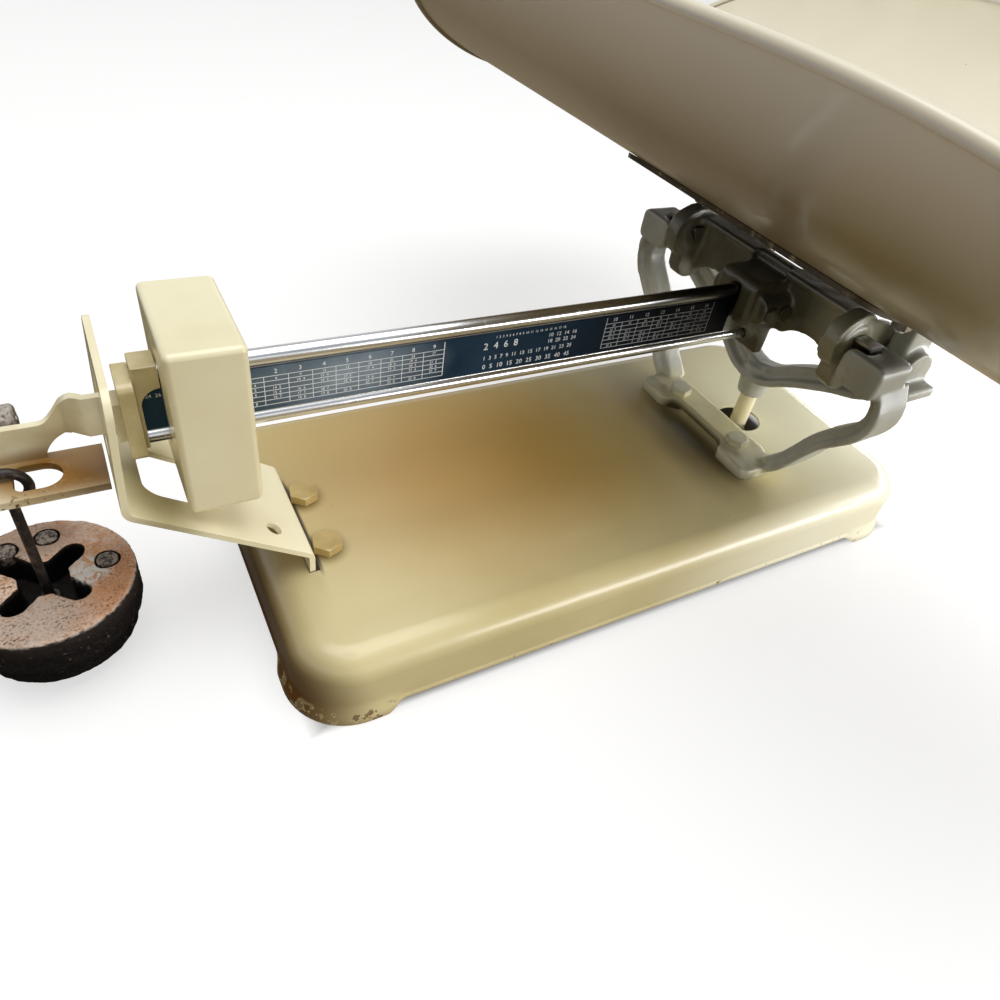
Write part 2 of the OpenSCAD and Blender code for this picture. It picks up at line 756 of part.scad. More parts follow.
module beam_tip() {
    place() color(cream) {
        intersection() {
            translate([0, 0, shelf_z - 20]) linear_extrude(60) polygon(band(joggle_path(), tip_t / 2, tip_t / 2));
            upright(-50, 50) web_outline();
        }
        difference() {
            translate([tip_end, shelf_low_y, shelf_z - tip_t]) cube([shelf_right - tip_end, shelf_w, tip_t]);
            translate([slot_left, slot_y - slot_w / 2, shelf_z - 2 * tip_t]) linear_extrude(3 * tip_t) {
                translate([slot_w / 4, 0]) square([slot_l - 3 * slot_w / 4, slot_w]);
                translate([slot_l - slot_w / 2, slot_w / 2]) circle(d = slot_w);
                translate([0, slot_w / 4]) square([slot_w / 2, slot_w / 2]);
                for (y = [slot_w / 4, 3 * slot_w / 4]) translate([slot_w / 4, y]) circle(d = slot_w / 2);
            }
        }
        // Tab and lug that hold the balance screw, and the flange riveted to the end plate
        translate([tip_end - lug_out, web_y, balance_z - balance_d]) {
            cube([lug_out + tip_t, tip_t, 2 * balance_d]);
            cube([tip_t, balance_y - web_y + balance_d, 2 * balance_d]);
        }
        translate([beam_left - end_plate_t - tip_t, web_in_y + tip_t / 2 - 8, tip_low])
            cube([tip_t, 8, tip_high - tip_low]);
    }
}

module tip_rivets() {
    place() color(cream_shade) for (z = [-4, 4])
        translate([beam_left - end_plate_t - tip_t - 1.2, -1, (tip_low + tip_high) / 2 + z]) rotate([0, 90, 0])
        cylinder(d = 5, h = 1.2);
}

module balance_screw() {
    place() color(steel_dark) translate([tip_end - lug_out + tip_t, balance_y, balance_z]) rotate([0, 90, 0])
        cylinder(d = balance_d, h = lug_out + 8.5);
}

module balance_nut() {
    r = 6.2;
    l = 7;
    place() color(iron_brown) translate([tip_end + tip_t + 1, balance_y, balance_z]) rotate([0, 90, 0]) difference() {
        rotate_extrude() polygon([[0, 0], [r - 0.8, 0], [r, 1], [r, l - 1], [r - 0.8, l], [0, l]]);
        translate([0, 0, -1]) cylinder(d = balance_d + 2 * pin_fit, h = l + 2);
    }
}

// The main poise: a rounded box that the beam passes through, with a reading window on its far side
module main_poise() {
    place() color(cream) difference() {
        hull() for (x = [poise_r, poise_l - poise_r], y = [-1, 1], z = [poise_r, poise_h - poise_r])
            translate([poise_left + x, y * (poise_w / 2 - poise_r), poise_low + z]) sphere(r = poise_r, $fn = 24);
        translate([poise_left - 1, -pass_w / 2, beam_low - seat]) cube([poise_l + 2, pass_w, beam_h + 2 * seat]);
        translate([poise_left + 5, 0, beam_z - window_half]) cube([poise_l - 10, poise_w, 2 * window_half]);
    }
}

module poise_index() {
    place() color(bright) upright(pass_w / 2 + 0.4, pass_w / 2 + 1.6) translate([poise_left + poise_l / 2, beam_z])
        polygon([[-1.5, window_half], [1.5, window_half], [1.5, 1], [0, -3], [-1.5, 1]]);
}

// The hanging weight, its hook and its adjusting plugs
plug_angles = [6, 83, 122];
plug_ring = 23.5;
plug_r = 4.2;

module weight_disc() {
    r = weight_d / 2;
    edge = 1.2;
    low = weight_gap;
    step_z = weight_top - tier_h;
    place() translate([weight_x, 0, 0]) color(iron_brown) difference() {
        rotate_extrude() polygon([[0, low], [r - tier_step - edge, low], [r - tier_step, low + edge],
            [r - tier_step, step_z], [r, step_z + 1.5], [r, weight_top - edge], [r - edge, weight_top], [0, weight_top]]);
        for (k = [0:lobes - 1]) rotate(45 + 360 * k / lobes) {
            translate([0, -lobe_r, weight_top - recess_depth]) cube([lobe_reach, 2 * lobe_r, recess_depth + 1]);
            translate([lobe_reach, 0, weight_top - recess_depth]) cylinder(r = lobe_r, h = recess_depth + 1);
        }
        translate([0, 0, weight_top - recess_depth]) cylinder(r = 9, h = recess_depth + 1);
        for (a = plug_angles) rotate(a) translate([plug_ring, 0, weight_top - 5]) cylinder(r = plug_r + 0.6, h = 6);
    }
}

module weight_plugs() {
    place() translate([weight_x, 0, 0]) color(steel_dark) for (a = plug_angles) rotate(a)
        translate([plug_ring, 0, weight_top - 5]) cylinder(r = plug_r, h = 4.6);
}

module weight_hook() {
    low = weight_top - recess_depth;
    foot = 4;
    shank_top = hang_z - crook_r;
    place() translate([hang_x, 0, 0]) color(wire_black) {
        translate([0, 0, low]) cylinder(d = wire_d, h = shank_top - low - 2.2);
        translate([0, 0, low]) cylinder(r = foot, h = 3);
        // The crook opens to the left and goes over the bridge at the tip's end
        translate([0, 0, hang_z]) rotate([90, 0, 0]) rotate([0, 0, -90]) rotate_extrude(angle = 250)
            translate([crook_r, 0]) circle(d = wire_d);
        translate([0, 0, shank_top - 2.2]) cylinder(d = wire_d, h = 2.4);
    }
}

// The load frame: two arms rise from the stem to the heads, whose posts hold the bearings and the saddle
function spider_path() = spline([[0, crotch_z + 3], [12, crotch_z + 6], [26, crotch_z + 15], [47, crotch_z + 26],
    [66, crotch_z + 34], [bulb_out - 2, bulb_z - 6]], 5);

module spider_head() {
    difference() {
        union() {
            translate([load_x - post_w / 2, head_in, pocket_low - 8])
                cube([post_w, post_out - head_in, ear_z + ear_t - pocket_low + 8]);
            translate([load_x - ear_reach, head_in, ear_z]) cube([2 * ear_reach, post_out - head_in, ear_t]);
            translate([load_x, post_out - 1, bulb_z]) rotate([-90, 0, 0]) cylinder(r = bulb_r, h = bulb_out - post_out + 1);
            translate([load_x - bulb_r, head_in, bulb_z - bulb_r]) cube([2 * bulb_r, head_out - head_in, 6]);
        }
        translate([load_x - bearing_w / 2, head_in - 1, pocket_low])
            cube([bearing_w, bearing_t + 1, load_bearing_top - pocket_low]);
        for (x = [-1, 1]) translate([load_x + x * tray_bolt_x, tray_bolt_y, ear_z - 1])
            cylinder(d = small_bolt_d + 2 * pin_fit, h = ear_t + 2);
    }
}

module load_spider() {
    place() color(casting_grey) {
        both_sides() {
            spider_head();
            sideways(load_x - spider_w / 2, load_x + spider_w / 2) polygon(band(spider_path(), 5, 6));
            sideways(load_x - spider_w, load_x + spider_w) polygon(band(spider_path(), -2, 6));
        }
        difference() {
            translate([load_x, 0, crotch_z - 14]) rotate_extrude() polygon([[0, 0], [8, 0], [8.5, 3], [10, 14],
                [9, 20], [0, 20]]);
            translate([load_x, 0, crotch_z - 15]) cylinder(d = stem_d + 2 * pin_fit, h = stem_top - crotch_z + 15);
        }
    }
}

module load_bearings() {
    low = fulcrum_z - 3.5;
    place() color(steel_dark) both_sides() difference() {
        translate([load_x - bearing_w / 2, head_in, low]) cube([bearing_w, bearing_t, load_bearing_top - low]);
        translate([load_x, 0, fulcrum_z + knife_gap]) vee_groove(-1);
    }
}

module stem() {
    low = link_z + 9;
    place() color(cream) difference() {
        union() {
            translate([load_x, 0, low]) cylinder(d = stem_d, h = stem_top - low);
            translate([load_x - 6, -ear_gap - clevis_t, low - 1]) cube([12, 2 * (ear_gap + clevis_t), 4]);
            both_sides() upright(ear_gap, ear_gap + clevis_t) {
                translate([load_x, link_z]) circle(r = 6);
                translate([load_x - 6, link_z]) square([12, low - link_z]);
            }
        }
        translate([load_x, 0, link_z]) rotate([90, 0, 0]) cylinder(d = pin_d + 2 * pin_fit, h = 40, center = true);
    }
}

module stem_pin() {
    place() color(steel_dark) headed_pin(load_x);
}

module check_link() {
    eye_r = 5.5;
    place() color(steel_dark) difference() {
        upright(-link_t / 2, link_t / 2) {
            for (x = [fulcrum_x, load_x]) translate([x, link_z]) circle(r = eye_r);
            translate([fulcrum_x, link_z - 3]) square([load_arm, 6]);
        }
        for (x = [fulcrum_x, load_x]) translate([x, 0, link_z]) rotate([90, 0, 0])
            cylinder(d = pin_d + 2 * pin_fit, h = 2 * link_t, center = true);
    }
}

// A curved sheet whose axis runs across the base, over the load knife edges
module trough(r, t, l) {
    translate([load_x, l / 2, tray_z]) rotate([90, 0, 0]) difference() {
        cylinder(r = r, h = l, $fn = 96);
        translate([0, 0, -1]) cylinder(r = r - t, h = l + 2, $fn = 96);
    }
}

module tray_bolt_places() {
    for (x = [-1, 1], y = [-1, 1]) translate([load_x + x * tray_bolt_x, y * tray_bolt_y, 0]) children();
}

module tray_saddle() {
    place() color(casting_grey) difference() {
        intersection() {
            trough(saddle_out, saddle_t, saddle_l);
            translate([load_x, 0, saddle_low - 1]) linear_extrude(40) rounded_rect(saddle_w, saddle_l - 1, 10);
        }
        tray_bolt_places() translate([0, 0, saddle_low - 2]) cylinder(d = small_bolt_d + 2 * pin_fit, h = 20);
    }
}

// Outline of the tray in plan, and its rim on the curve above it
rim_steps = 128;
function rim_reach(a) = pow(pow(abs(cos(a)) * 2 / tray_w, tray_power) + pow(abs(sin(a)) * 2 / tray_l, tray_power),
    -1 / tray_power);
function rim_plan(a) = rim_reach(a) * [cos(a), sin(a)];
function rim_point(a) = let (p = rim_plan(a), r = tray_r - tray_t / 2)
    [p[0], p[1], tray_z - sqrt(r * r - p[0] * p[0])];

module rolled_rim() {
    sides = 8;
    rings = [for (k = [0:rim_steps - 1]) let (
        a = 360 * k / rim_steps,
        step = 360 / rim_steps,
        ahead = unit(rim_point(a + step) - rim_point(a - step)),
        out = unit(cross(ahead, [0, 0, 1])),
        up = cross(out, ahead)
    ) [for (s = [0:sides - 1]) rim_point(a) + rim_r * (cos(360 * s / sides) * out + sin(360 * s / sides) * up)]];
    points = [for (ring = rings, p = ring) p];
    faces = [for (k = [0:rim_steps - 1], s = [0:sides - 1], half = [0, 1]) let (
        a = k * sides + s,
        b = k * sides + (s + 1) % sides,
        c = ((k + 1) % rim_steps) * sides + (s + 1) % sides,
        d = ((k + 1) % rim_steps) * sides + s
    ) half == 0 ? [a, b, c] : [a, c, d]];
    translate([load_x, 0, 0]) polyhedron(points = points, faces = faces);
}

module tray() {
    place() color(cream) difference() {
        union() {
            intersection() {
                trough(tray_r, tray_t, tray_l + 10);
                translate([load_x, 0, tray_low - 1]) linear_extrude(tray_r)
                    polygon([for (k = [0:rim_steps - 1]) rim_plan(360 * k / rim_steps)]);
            }
            rolled_rim();
        }
        tray_bolt_places() translate([0, 0, tray_low - 2]) cylinder(d = small_bolt_d + 2 * pin_fit, h = 20);
    }
}

module tray_bolts() {
    head_r = 5;
    inner = tray_r - tray_t;
    head_z = tray_z - sqrt(inner * inner - pow(tray_bolt_x + head_r, 2)) + 0.1;
    low = ear_z - small_nut_h - 1.5;
    place() color(bright) tray_bolt_places() {
        translate([0, 0, low]) cylinder(d = small_bolt_d, h = head_z + 1 - low);
        translate([0, 0, head_z]) rotate_extrude() intersection() {
            translate([0, -head_r * 0.6]) circle(r = head_r * 1.17);
            square([head_r, head_r]);
        }
    }
}

module tray_nuts() {
    place() color(bright) tray_bolt_places() translate([0, 0, ear_z - small_nut_h])
        nut(small_af, small_nut_h, small_bolt_d + 2 * pin_fit);
}

base_shell();
loop_bracket();
bracket_bolts();
bracket_nuts();
stand_yoke();
stand_bolts();
stand_nuts();
fulcrum_bearings();
link_bracket();
link_pin();
lever_casting();
fulcrum_knives();
load_knives();
beam_bar();
near_plate();
far_plate();
hub_screws();
beam_end_cap();
beam_end_plate();
beam_tip();
tip_rivets();
balance_screw();
balance_nut();
main_poise();
poise_index();
weight_disc();
weight_hook();
weight_plugs();
load_spider();
load_bearings();
stem();
stem_pin();
check_link();
tray_saddle();
tray();
tray_bolts();
tray_nuts();
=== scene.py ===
import math

import bpy
from mathutils import Matrix, Vector


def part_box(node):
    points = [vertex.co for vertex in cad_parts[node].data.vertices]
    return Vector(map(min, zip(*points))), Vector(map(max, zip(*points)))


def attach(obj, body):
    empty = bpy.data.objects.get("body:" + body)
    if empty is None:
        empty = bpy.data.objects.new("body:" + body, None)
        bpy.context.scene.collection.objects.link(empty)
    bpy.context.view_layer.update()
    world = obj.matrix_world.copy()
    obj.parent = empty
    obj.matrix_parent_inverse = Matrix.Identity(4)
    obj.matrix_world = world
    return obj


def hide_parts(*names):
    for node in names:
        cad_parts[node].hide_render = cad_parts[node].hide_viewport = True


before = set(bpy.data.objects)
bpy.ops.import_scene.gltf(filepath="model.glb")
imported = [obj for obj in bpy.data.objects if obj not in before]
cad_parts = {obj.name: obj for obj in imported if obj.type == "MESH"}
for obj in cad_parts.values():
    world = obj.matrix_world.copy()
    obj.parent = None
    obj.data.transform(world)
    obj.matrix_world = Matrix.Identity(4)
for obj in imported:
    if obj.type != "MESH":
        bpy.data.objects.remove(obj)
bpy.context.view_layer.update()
scene = bpy.context.scene
mm = 0.001
print("frame loaded:", len(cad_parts), "nodes")


def hexColour(code):
    parts = [int(code[i:i + 2], 16) / 255 for i in (1, 3, 5)]
    return tuple(c / 12.92 if c <= 0.04045 else ((c + 0.055) / 1.055) ** 2.4 for c in parts) + (1.0,)


def addNode(tree, kind, settings=None, links=None):
    node = tree.nodes.new(kind)
    for key, value in (settings or {}).items():
        if key == "stops":  # colour ramp: (place, hex) pairs
            band = node.color_ramp.elements
            while len(band) < len(value):
                band.new(1.0)
            for element, (place, code) in zip(band, value):
                element.position = place
                element.color = hexColour(code)
        elif isinstance(key, int) or key in node.inputs:
            node.inputs[key].default_value = value
        else:
            setattr(node, key, value)
    for key, source in (links or {}).items():
        tree.links.new(source, node.inputs[key])
    return node


def startMaterial(name, rough, metallic=0.0):
    material = bpy.data.materials.new(name)
    material.use_nodes = True
    tree = material.node_tree
    shader = tree.nodes["Principled BSDF"]
    shader.inputs["Roughness"].default_value = rough
    shader.inputs["Metallic"].default_value = metallic
    place = addNode(tree, "ShaderNodeTexCoord").outputs["Object"]
    return material, tree, shader, place


# A soft round patch: 1 at its centre, 0 at its radii
def patchMask(tree, place, centre, radii):
    moved = addNode(tree, "ShaderNodeMapping", {"vector_type": "TEXTURE", "Location": centre, "Scale": radii},
        {"Vector": place})
    ball = addNode(tree, "ShaderNodeTexGradient", {"gradient_type": "SPHERICAL"}, {"Vector": moved.outputs[0]})
    return ball.outputs["Fac"]


# The same patch with a wider middle: it is full wherever the soft one is over the share
def fullPatch(tree, place, centre, radii, share):
    ball = patchMask(tree, place, centre, radii)
    return addNode(tree, "ShaderNodeMapRange", {"From Max": share}, {"Value": ball}).outputs[0]


# Noise pushed to near black and white, for chips, rust and stains
def roughPatches(tree, place, size, edge, width, detail=4.0):
    cloud = addNode(tree, "ShaderNodeTexNoise", {"Scale": 1 / size, "Detail": detail, "Roughness": 0.6},
        {"Vector": place})
    return addNode(tree, "ShaderNodeMapRange", {"From Min": edge, "From Max": edge + width},
        {"Value": cloud.outputs["Fac"]}).outputs[0]


# How far a face looks up: 1 is up, 0 is level and -1 is down
def facingUp(tree):
    normal = addNode(tree, "ShaderNodeTexCoord").outputs["Normal"]
    return addNode(tree, "ShaderNodeSeparateXYZ", None, {0: normal}).outputs[2]


# A mask multiplied by further masks or plain shares
def timesMask(tree, mask, *amounts):
    for amount in amounts:
        settings, links = {"operation": "MULTIPLY"}, {0: mask}
        target = settings if isinstance(amount, float) else links
        target[1] = amount
        mask = addNode(tree, "ShaderNodeMath", settings, links).outputs[0]
    return mask


# One colour laid over another where all the masks say so; each is a hex value or an earlier node's output
def layColour(tree, under, over, *masks):
    settings, links = {"data_type": "RGBA"}, {0: timesMask(tree, *masks)}
    for key, colour in ((6, under), (7, over)):
        if isinstance(colour, str):
            settings[key] = hexColour(colour)
        else:
            links[key] = colour
    return addNode(tree, "ShaderNodeMix", settings, links).outputs[2]


def layPatches(tree, place, colour, patches):
    for centre, radii, code, share in patches:
        colour = layColour(tree, colour, code, fullPatch(tree, place, centre, radii, 0.6), share)
    return colour


def addBump(tree, shader, height, depth, under=None):
    links = {"Height": height}
    if under:
        links["Normal"] = under
    bump = addNode(tree, "ShaderNodeBump", {"Strength": 1.0, "Distance": depth}, links)
    tree.links.new(bump.outputs["Normal"], shader.inputs["Normal"])
    return bump.outputs["Normal"]


# Layers of unevenness on an enamel and on its gloss, each given by size, detail and depth
def addSkin(tree, shader, place, layers):
    normal = None
    for size, detail, depth in layers:
        noise = addNode(tree, "ShaderNodeTexNoise", {"Scale": 1 / size, "Detail": detail}, {"Vector": place})
        normal = addBump(tree, shader, noise.outputs["Fac"], depth, normal)
    tree.links.new(normal, shader.inputs["Coat Normal"])


# Baked gloss enamel on steel: a thick cream skin with slight orange peel, a few specks and the odd chip
def bakedEnamel(name, look):
    material, tree, shader, place = startMaterial(name, look["rough"])
    cloud = roughPatches(tree, place, look["cloud"], 0.36, 0.28, 3.0)
    colour = layColour(tree, look["light"], look["deep"], cloud)
    for centre, radii, code, share in look.get("patches", ()):
        mask = timesMask(tree, patchMask(tree, place, centre, radii), share)
        soft = addNode(tree, "ShaderNodeMapRange", {"interpolation_type": "SMOOTHSTEP", "From Max": 0.7},
            {"Value": mask}).outputs[0]
        colour = layColour(tree, colour, code, soft, share)
    if "under" in look:  # a sheet's underside: painted shade on its downward faces, paler towards its rim with a painted sheen
        underShade, pale, start, end = look["under"]
        below = addNode(tree, "ShaderNodeMapRange", {"From Min": 0.05, "From Max": -0.05},
            {"Value": facingUp(tree)}).outputs[0]
        height = addNode(tree, "ShaderNodeSeparateXYZ", None, {0: place}).outputs[2]
        rise = addNode(tree, "ShaderNodeMapRange", {"From Min": start, "From Max": end},
            {"Value": height}).outputs[0]
        colour = layColour(tree, colour, layColour(tree, underShade, pale, rise), below)
    # Small dark specks, one to a cell, with most of the cells left plain
    cells = addNode(tree, "ShaderNodeTexVoronoi", {"Scale": 1 / look["speckPitch"]}, {"Vector": place})
    dot = addNode(tree, "ShaderNodeMath",
        {"operation": "LESS_THAN", 1: look["speckRadius"] / look["speckPitch"]},
        {0: cells.outputs["Distance"]}).outputs[0]
    chance = addNode(tree, "ShaderNodeSeparateColor", None, {0: cells.outputs["Color"]}).outputs[0]
    few = addNode(tree, "ShaderNodeMath", {"operation": "GREATER_THAN", 1: look["plainCells"]},
        {0: chance}).outputs[0]
    colour = layColour(tree, colour, look["speck"], dot, few)
    bare = None
    for centre, radii, edge in look.get("chips", ()):
        near = fullPatch(tree, place, centre, radii, 0.35)
        bare = timesMask(tree, roughPatches(tree, place, look["chipSize"], edge, 0.02), near)
        halo = timesMask(tree, roughPatches(tree, place, look["chipSize"], edge - 0.035, 0.03), near)
        colour = layColour(tree, colour, look["rim"], halo)
        colour = layColour(tree, colour, look["bare"], bare)
    tree.links.new(colour, shader.inputs["Base Color"])
    shader.inputs["IOR"].default_value = 1.52
    shader.inputs["Coat Weight"].default_value = look["coat"]
    shader.inputs["Coat Roughness"].default_value = look["coatRough"]
    addSkin(tree, shader, place, (
        (look["peel"], 1.0, look["peelDepth"]), (look["wave"], 1.0, look["waveDepth"])))
    if bare:
        worn = addNode(tree, "ShaderNodeMapRange", {"To Min": look["rough"], "To Max": look["bareRough"]},
            {"Value": bare})
        tree.links.new(worn.outputs[0], shader.inputs["Roughness"])
    return material


creamLook = {"light": "#F5EECB", "deep": "#EBE1BA", "cloud": 70 * mm, "rough": 0.34, "coat": 0.3,
    "coatRough": 0.12, "speckPitch": 9 * mm, "speckRadius": 0.27 * mm, "plainCells": 0.72,
    "speck": "#6A5636", "peel": 2.4 * mm, "peelDepth": 0.02 * mm, "wave": 26 * mm, "waveDepth": 0.35 * mm,
    "chipSize": 5 * mm, "rim": "#CDBB8A", "bare": "#7A6444", "bareRough": 0.7}


def lookLike(changes):
    return {**creamLook, **changes}


# In every look a patch has a centre, radii, a colour and a share, and a chipped area has a centre, radii and
# the noise level at which it chips. Places and radii are in metres.
low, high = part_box("base_shell")
baseMiddle = (low.x + high.x) / 2
baseTop = high.z
boltLow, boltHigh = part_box("bracket_bolts")
boltX = (boltLow.x + boltHigh.x) / 2
slitFromBolts = 9.525 * mm  # from the bolts' row to the slit that the bracket's leg goes down through
slitX = boltX - slitFromBolts
# Grime with painted contact shade round the bracket's bolts
boltShadeAndGrime = [((boltX - 1.5 * mm, side * (boltHigh.y - 7 * mm) - 0.5 * mm, baseTop),
    (13 * mm, 13 * mm, 8 * mm), "#4A3610", 0.95) for side in (-1, 1)]
# Painted contact shadow along the slit's right edge
slitContactShade = [((slitX + 2.8 * mm, y * mm, baseTop), (1.9 * mm, 14 * mm, 8 * mm), "#33240C", 0.95)
    for y in (-22, -11, 0, 11, 22)]
baseEnamel = bakedEnamel("bakedCreamEnamelBase", lookLike({
    "light": "#D8CA9A", "deep": "#CDBE8A", "cloud": 95 * mm,
    "patches": (
        # Brown and paler patches on the top: painted shade and warm reflection under the tray, partly the
        # enamel's own uneven tone
        ((baseMiddle - 0.100, 0.050, baseTop), (0.130, 0.090, 0.016), "#B89F62", 0.85),
        ((baseMiddle - 0.060, 0.010, baseTop), (0.130, 0.110, 0.016), "#C39B5C", 0.8),
        ((baseMiddle - 0.005, 0.010, baseTop), (0.090, 0.085, 0.016), "#A88334", 0.75),
        ((baseMiddle + 0.050, 0.010, baseTop), (0.090, 0.085, 0.016), "#B39A58", 0.75),
        ((baseMiddle + 0.075, 0.072, baseTop), (0.070, 0.045, 0.016), "#CFC599", 0.75),
        # A painted pool of light on the top's right end, where the tray hides the lamp
        ((baseMiddle + 0.160, 0.000, baseTop), (0.110, 0.120, 0.020), "#FFFBD6", 0.95),
        # Painted shadow of the stand's foot, falling to its left
        ((baseMiddle + 0.066, -0.010, baseTop), (0.026, 0.070, 0.012), "#6E5A24", 0.75),
        ((baseMiddle + 0.073, -0.006, baseTop), (0.011, 0.062, 0.010), "#463C16", 0.85),
        *boltShadeAndGrime, *slitContactShade,
        # Painted shade inside the slit, below the top
        ((slitX, 0, baseTop - 1.1 * mm), (8 * mm, 90 * mm, 1.4 * mm), "#1E1404", 1.0),
        # Painted shade on the left wall, which faces away from the lamps
        ((low.x - 0.002, -0.020, 0.006), (0.044, 0.150, 0.044), "#5E3A02", 1.0),
        # Painted light on the near wall's right end
        ((high.x - 0.030, low.y, 0.016), (0.190, 0.030, 0.045), "#FFFBE0", 0.95),
        ((baseMiddle, low.y, -0.001), (0.260, 0.020, 0.006), "#8A6B34", 0.8)),
    "chips": (
        ((baseMiddle, low.y, 0.003), (0.26, 0.010, 0.005), 0.64),
        ((low.x + 0.02, low.y + 0.02, 0.002), (0.05, 0.05, 0.006), 0.57))}))
creamEnamel = bakedEnamel("bakedCreamEnamel", creamLook)
low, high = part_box("loop_bracket")
# The bracket: a paler cream than the other parts as painted light, painted shade on the incline's left under the
# poise, and painted shade where its leg goes down the slit
bracketEnamel = bakedEnamel("bakedCreamEnamelBracket", lookLike({
    "light": "#FBF3D2", "deep": "#F0E6BE", "patches": (
        ((low.x + 0.012, -0.012, 0.080), (0.023, 0.040, 0.022), "#8E8256", 0.9),
        ((slitX, 0, baseTop - 1.5 * mm), (8 * mm, 90 * mm, 3 * mm), "#2A1D08", 1.0))}))
# A darker copy of the cream enamel for the beam's end cap and end plate: painted shade
shadedEnamel = bakedEnamel("shadedCreamEnamel", lookLike({
    "light": "#CFC299", "deep": "#BFB083", "cloud": 14 * mm}))
# The bolts' tan, darker than the cream, is partly painted shade under the tray
boltEnamel = bakedEnamel("brushedOverEnamel", lookLike({
    "light": "#C9B074", "deep": "#B39A5C", "cloud": 12 * mm, "rough": 0.30, "peelDepth": 0.05 * mm}))
low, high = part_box("beam_tip")
tipEnamel = bakedEnamel("wornAndShadedCreamEnamelTip", lookLike({
    "light": "#F6EFD0", "deep": "#E6D9AE", "cloud": 22 * mm,
    # Brown on the shelf and on the web's inner side: stain and wear with painted shade and warm reflection
    "patches": (
        ((low.x + 0.026, low.y + 0.012, low.z + 0.003), (0.040, 0.022, 0.008), "#8E6424", 1.0),
        ((low.x + 0.046, low.y + 0.012, low.z + 0.003), (0.024, 0.026, 0.008), "#6E4A1A", 0.9),
        ((low.x + 0.038, high.y - 0.010, low.z + 0.008), (0.022, 0.020, 0.014), "#B08C55", 0.8)),
    "chips": (
        ((low.x + 0.016, low.y + 0.002, low.z + 0.001), (0.03, 0.006, 0.004), 0.60),
        ((low.x + 0.016, low.y + 0.012, low.z + 0.003), (0.016, 0.014, 0.003), 0.66)),
    "chipSize": 2.2 * mm, "bare": "#5F4C38", "rim": "#B49A66"}))
low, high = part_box("tray")
trayEnamel = bakedEnamel("bakedTrayEnamel", lookLike({
    "light": "#E9E2CC", "deep": "#E0D8BF", "cloud": 160 * mm, "plainCells": 0.9,
    # The underside: painted shade, paling to a painted sheen at the rim
    "under": ("#94886F", "#F0EFF0", low.z + 0.052, high.z - 0.004)}))
print("enamels ready")

# Cast iron under thin satin enamel: greyer than the sheet parts, with the sand mould's grain showing through
castSkin = {"cloud": 34 * mm, "grimeSize": 7 * mm, "grimeShare": 0.5, "ior": 1.5, "coat": 0.35,
    "coatRough": 0.2, "layers": ((1.6 * mm, 2.0, 0.06 * mm), (9 * mm, 1.0, 0.35 * mm))}


def paintedCasting(name, look):
    material, tree, shader, place = startMaterial(name, look["rough"])
    cloud = roughPatches(tree, place, castSkin["cloud"], 0.38, 0.26)
    colour = layColour(tree, look["light"], look["deep"], cloud)
    grime = roughPatches(tree, place, castSkin["grimeSize"], 0.56, 0.12)
    colour = layColour(tree, colour, look["grime"], grime, castSkin["grimeShare"])
    colour = layPatches(tree, place, colour, look.get("patches", ()))
    tree.links.new(colour, shader.inputs["Base Color"])
    shader.inputs["IOR"].default_value = castSkin["ior"]
    shader.inputs["Coat Weight"].default_value = castSkin["coat"]
    shader.inputs["Coat Roughness"].default_value = castSkin["coatRough"]
    addSkin(tree, shader, place, castSkin["layers"])
    return material


low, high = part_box("stand_yoke")
standX = (low.x + high.x) / 2
castingEnamel = paintedCasting("satinEnamelOnCastIron", {
    "light": "#BDBEB6", "deep": "#ABACA0", "grime": "#8F8C76", "rough": 0.45, "patches": (
        # Painted light on the far arm's lower part
        ((standX, high.y - 0.034, 0.080), (0.034, 0.034, 0.040), "#F2F2E8", 0.85),
        # Painted shade at the far arm's head
        ((standX, high.y - 0.010, high.z - 0.012), (0.030, 0.030, 0.030), "#8E959A", 0.6),
        # Painted light on the foot, which lies in the tray's shade
        ((standX, 0.000, 0.040), (0.040, 0.070, 0.014), "#E2D9AA", 1.0),
        # Painted shadow along the foot's left wall
        ((standX - 0.011, 0.000, 0.037), (0.008, 0.080, 0.009), "#3E3714", 1.0),
        # Painted shade on the near arm's head
        ((standX, low.y + 0.012, high.z - 0.010), (0.030, 0.022, 0.030), "#85867B", 0.85))})
low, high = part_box("lever_casting")
darkCasting = paintedCasting("satinEnamelOnLever", {
    "light": "#4E4B39", "deep": "#3F3C2B", "grime": "#2E2A18", "rough": 0.42, "patches": (
        # Painted light on the near cheek and on the far lugs
        ((standX, low.y + 0.008, high.z - 0.016), (0.050, 0.030, 0.040), "#8B8870", 0.9),
        ((standX, high.y - 0.010, high.z - 0.014), (0.040, 0.022, 0.030), "#6E6C60", 0.8))})
# The saddle: near-black enamel, partly painted shade under the tray, with pale flecks for worn edges and painted
# glints
saddleEnamel = paintedCasting("wornEnamelSaddleInShade", {
    "light": "#4A4231", "deep": "#2E281B", "grime": "#B7AB8C", "rough": 0.36})

# Bright steel: chromed rails and ground knife edges differ in tone and in how the scratches run
steelSkin = {"scratch": 0.9 * mm, "tarnishSize": 11 * mm, "tarnishRough": 0.2}


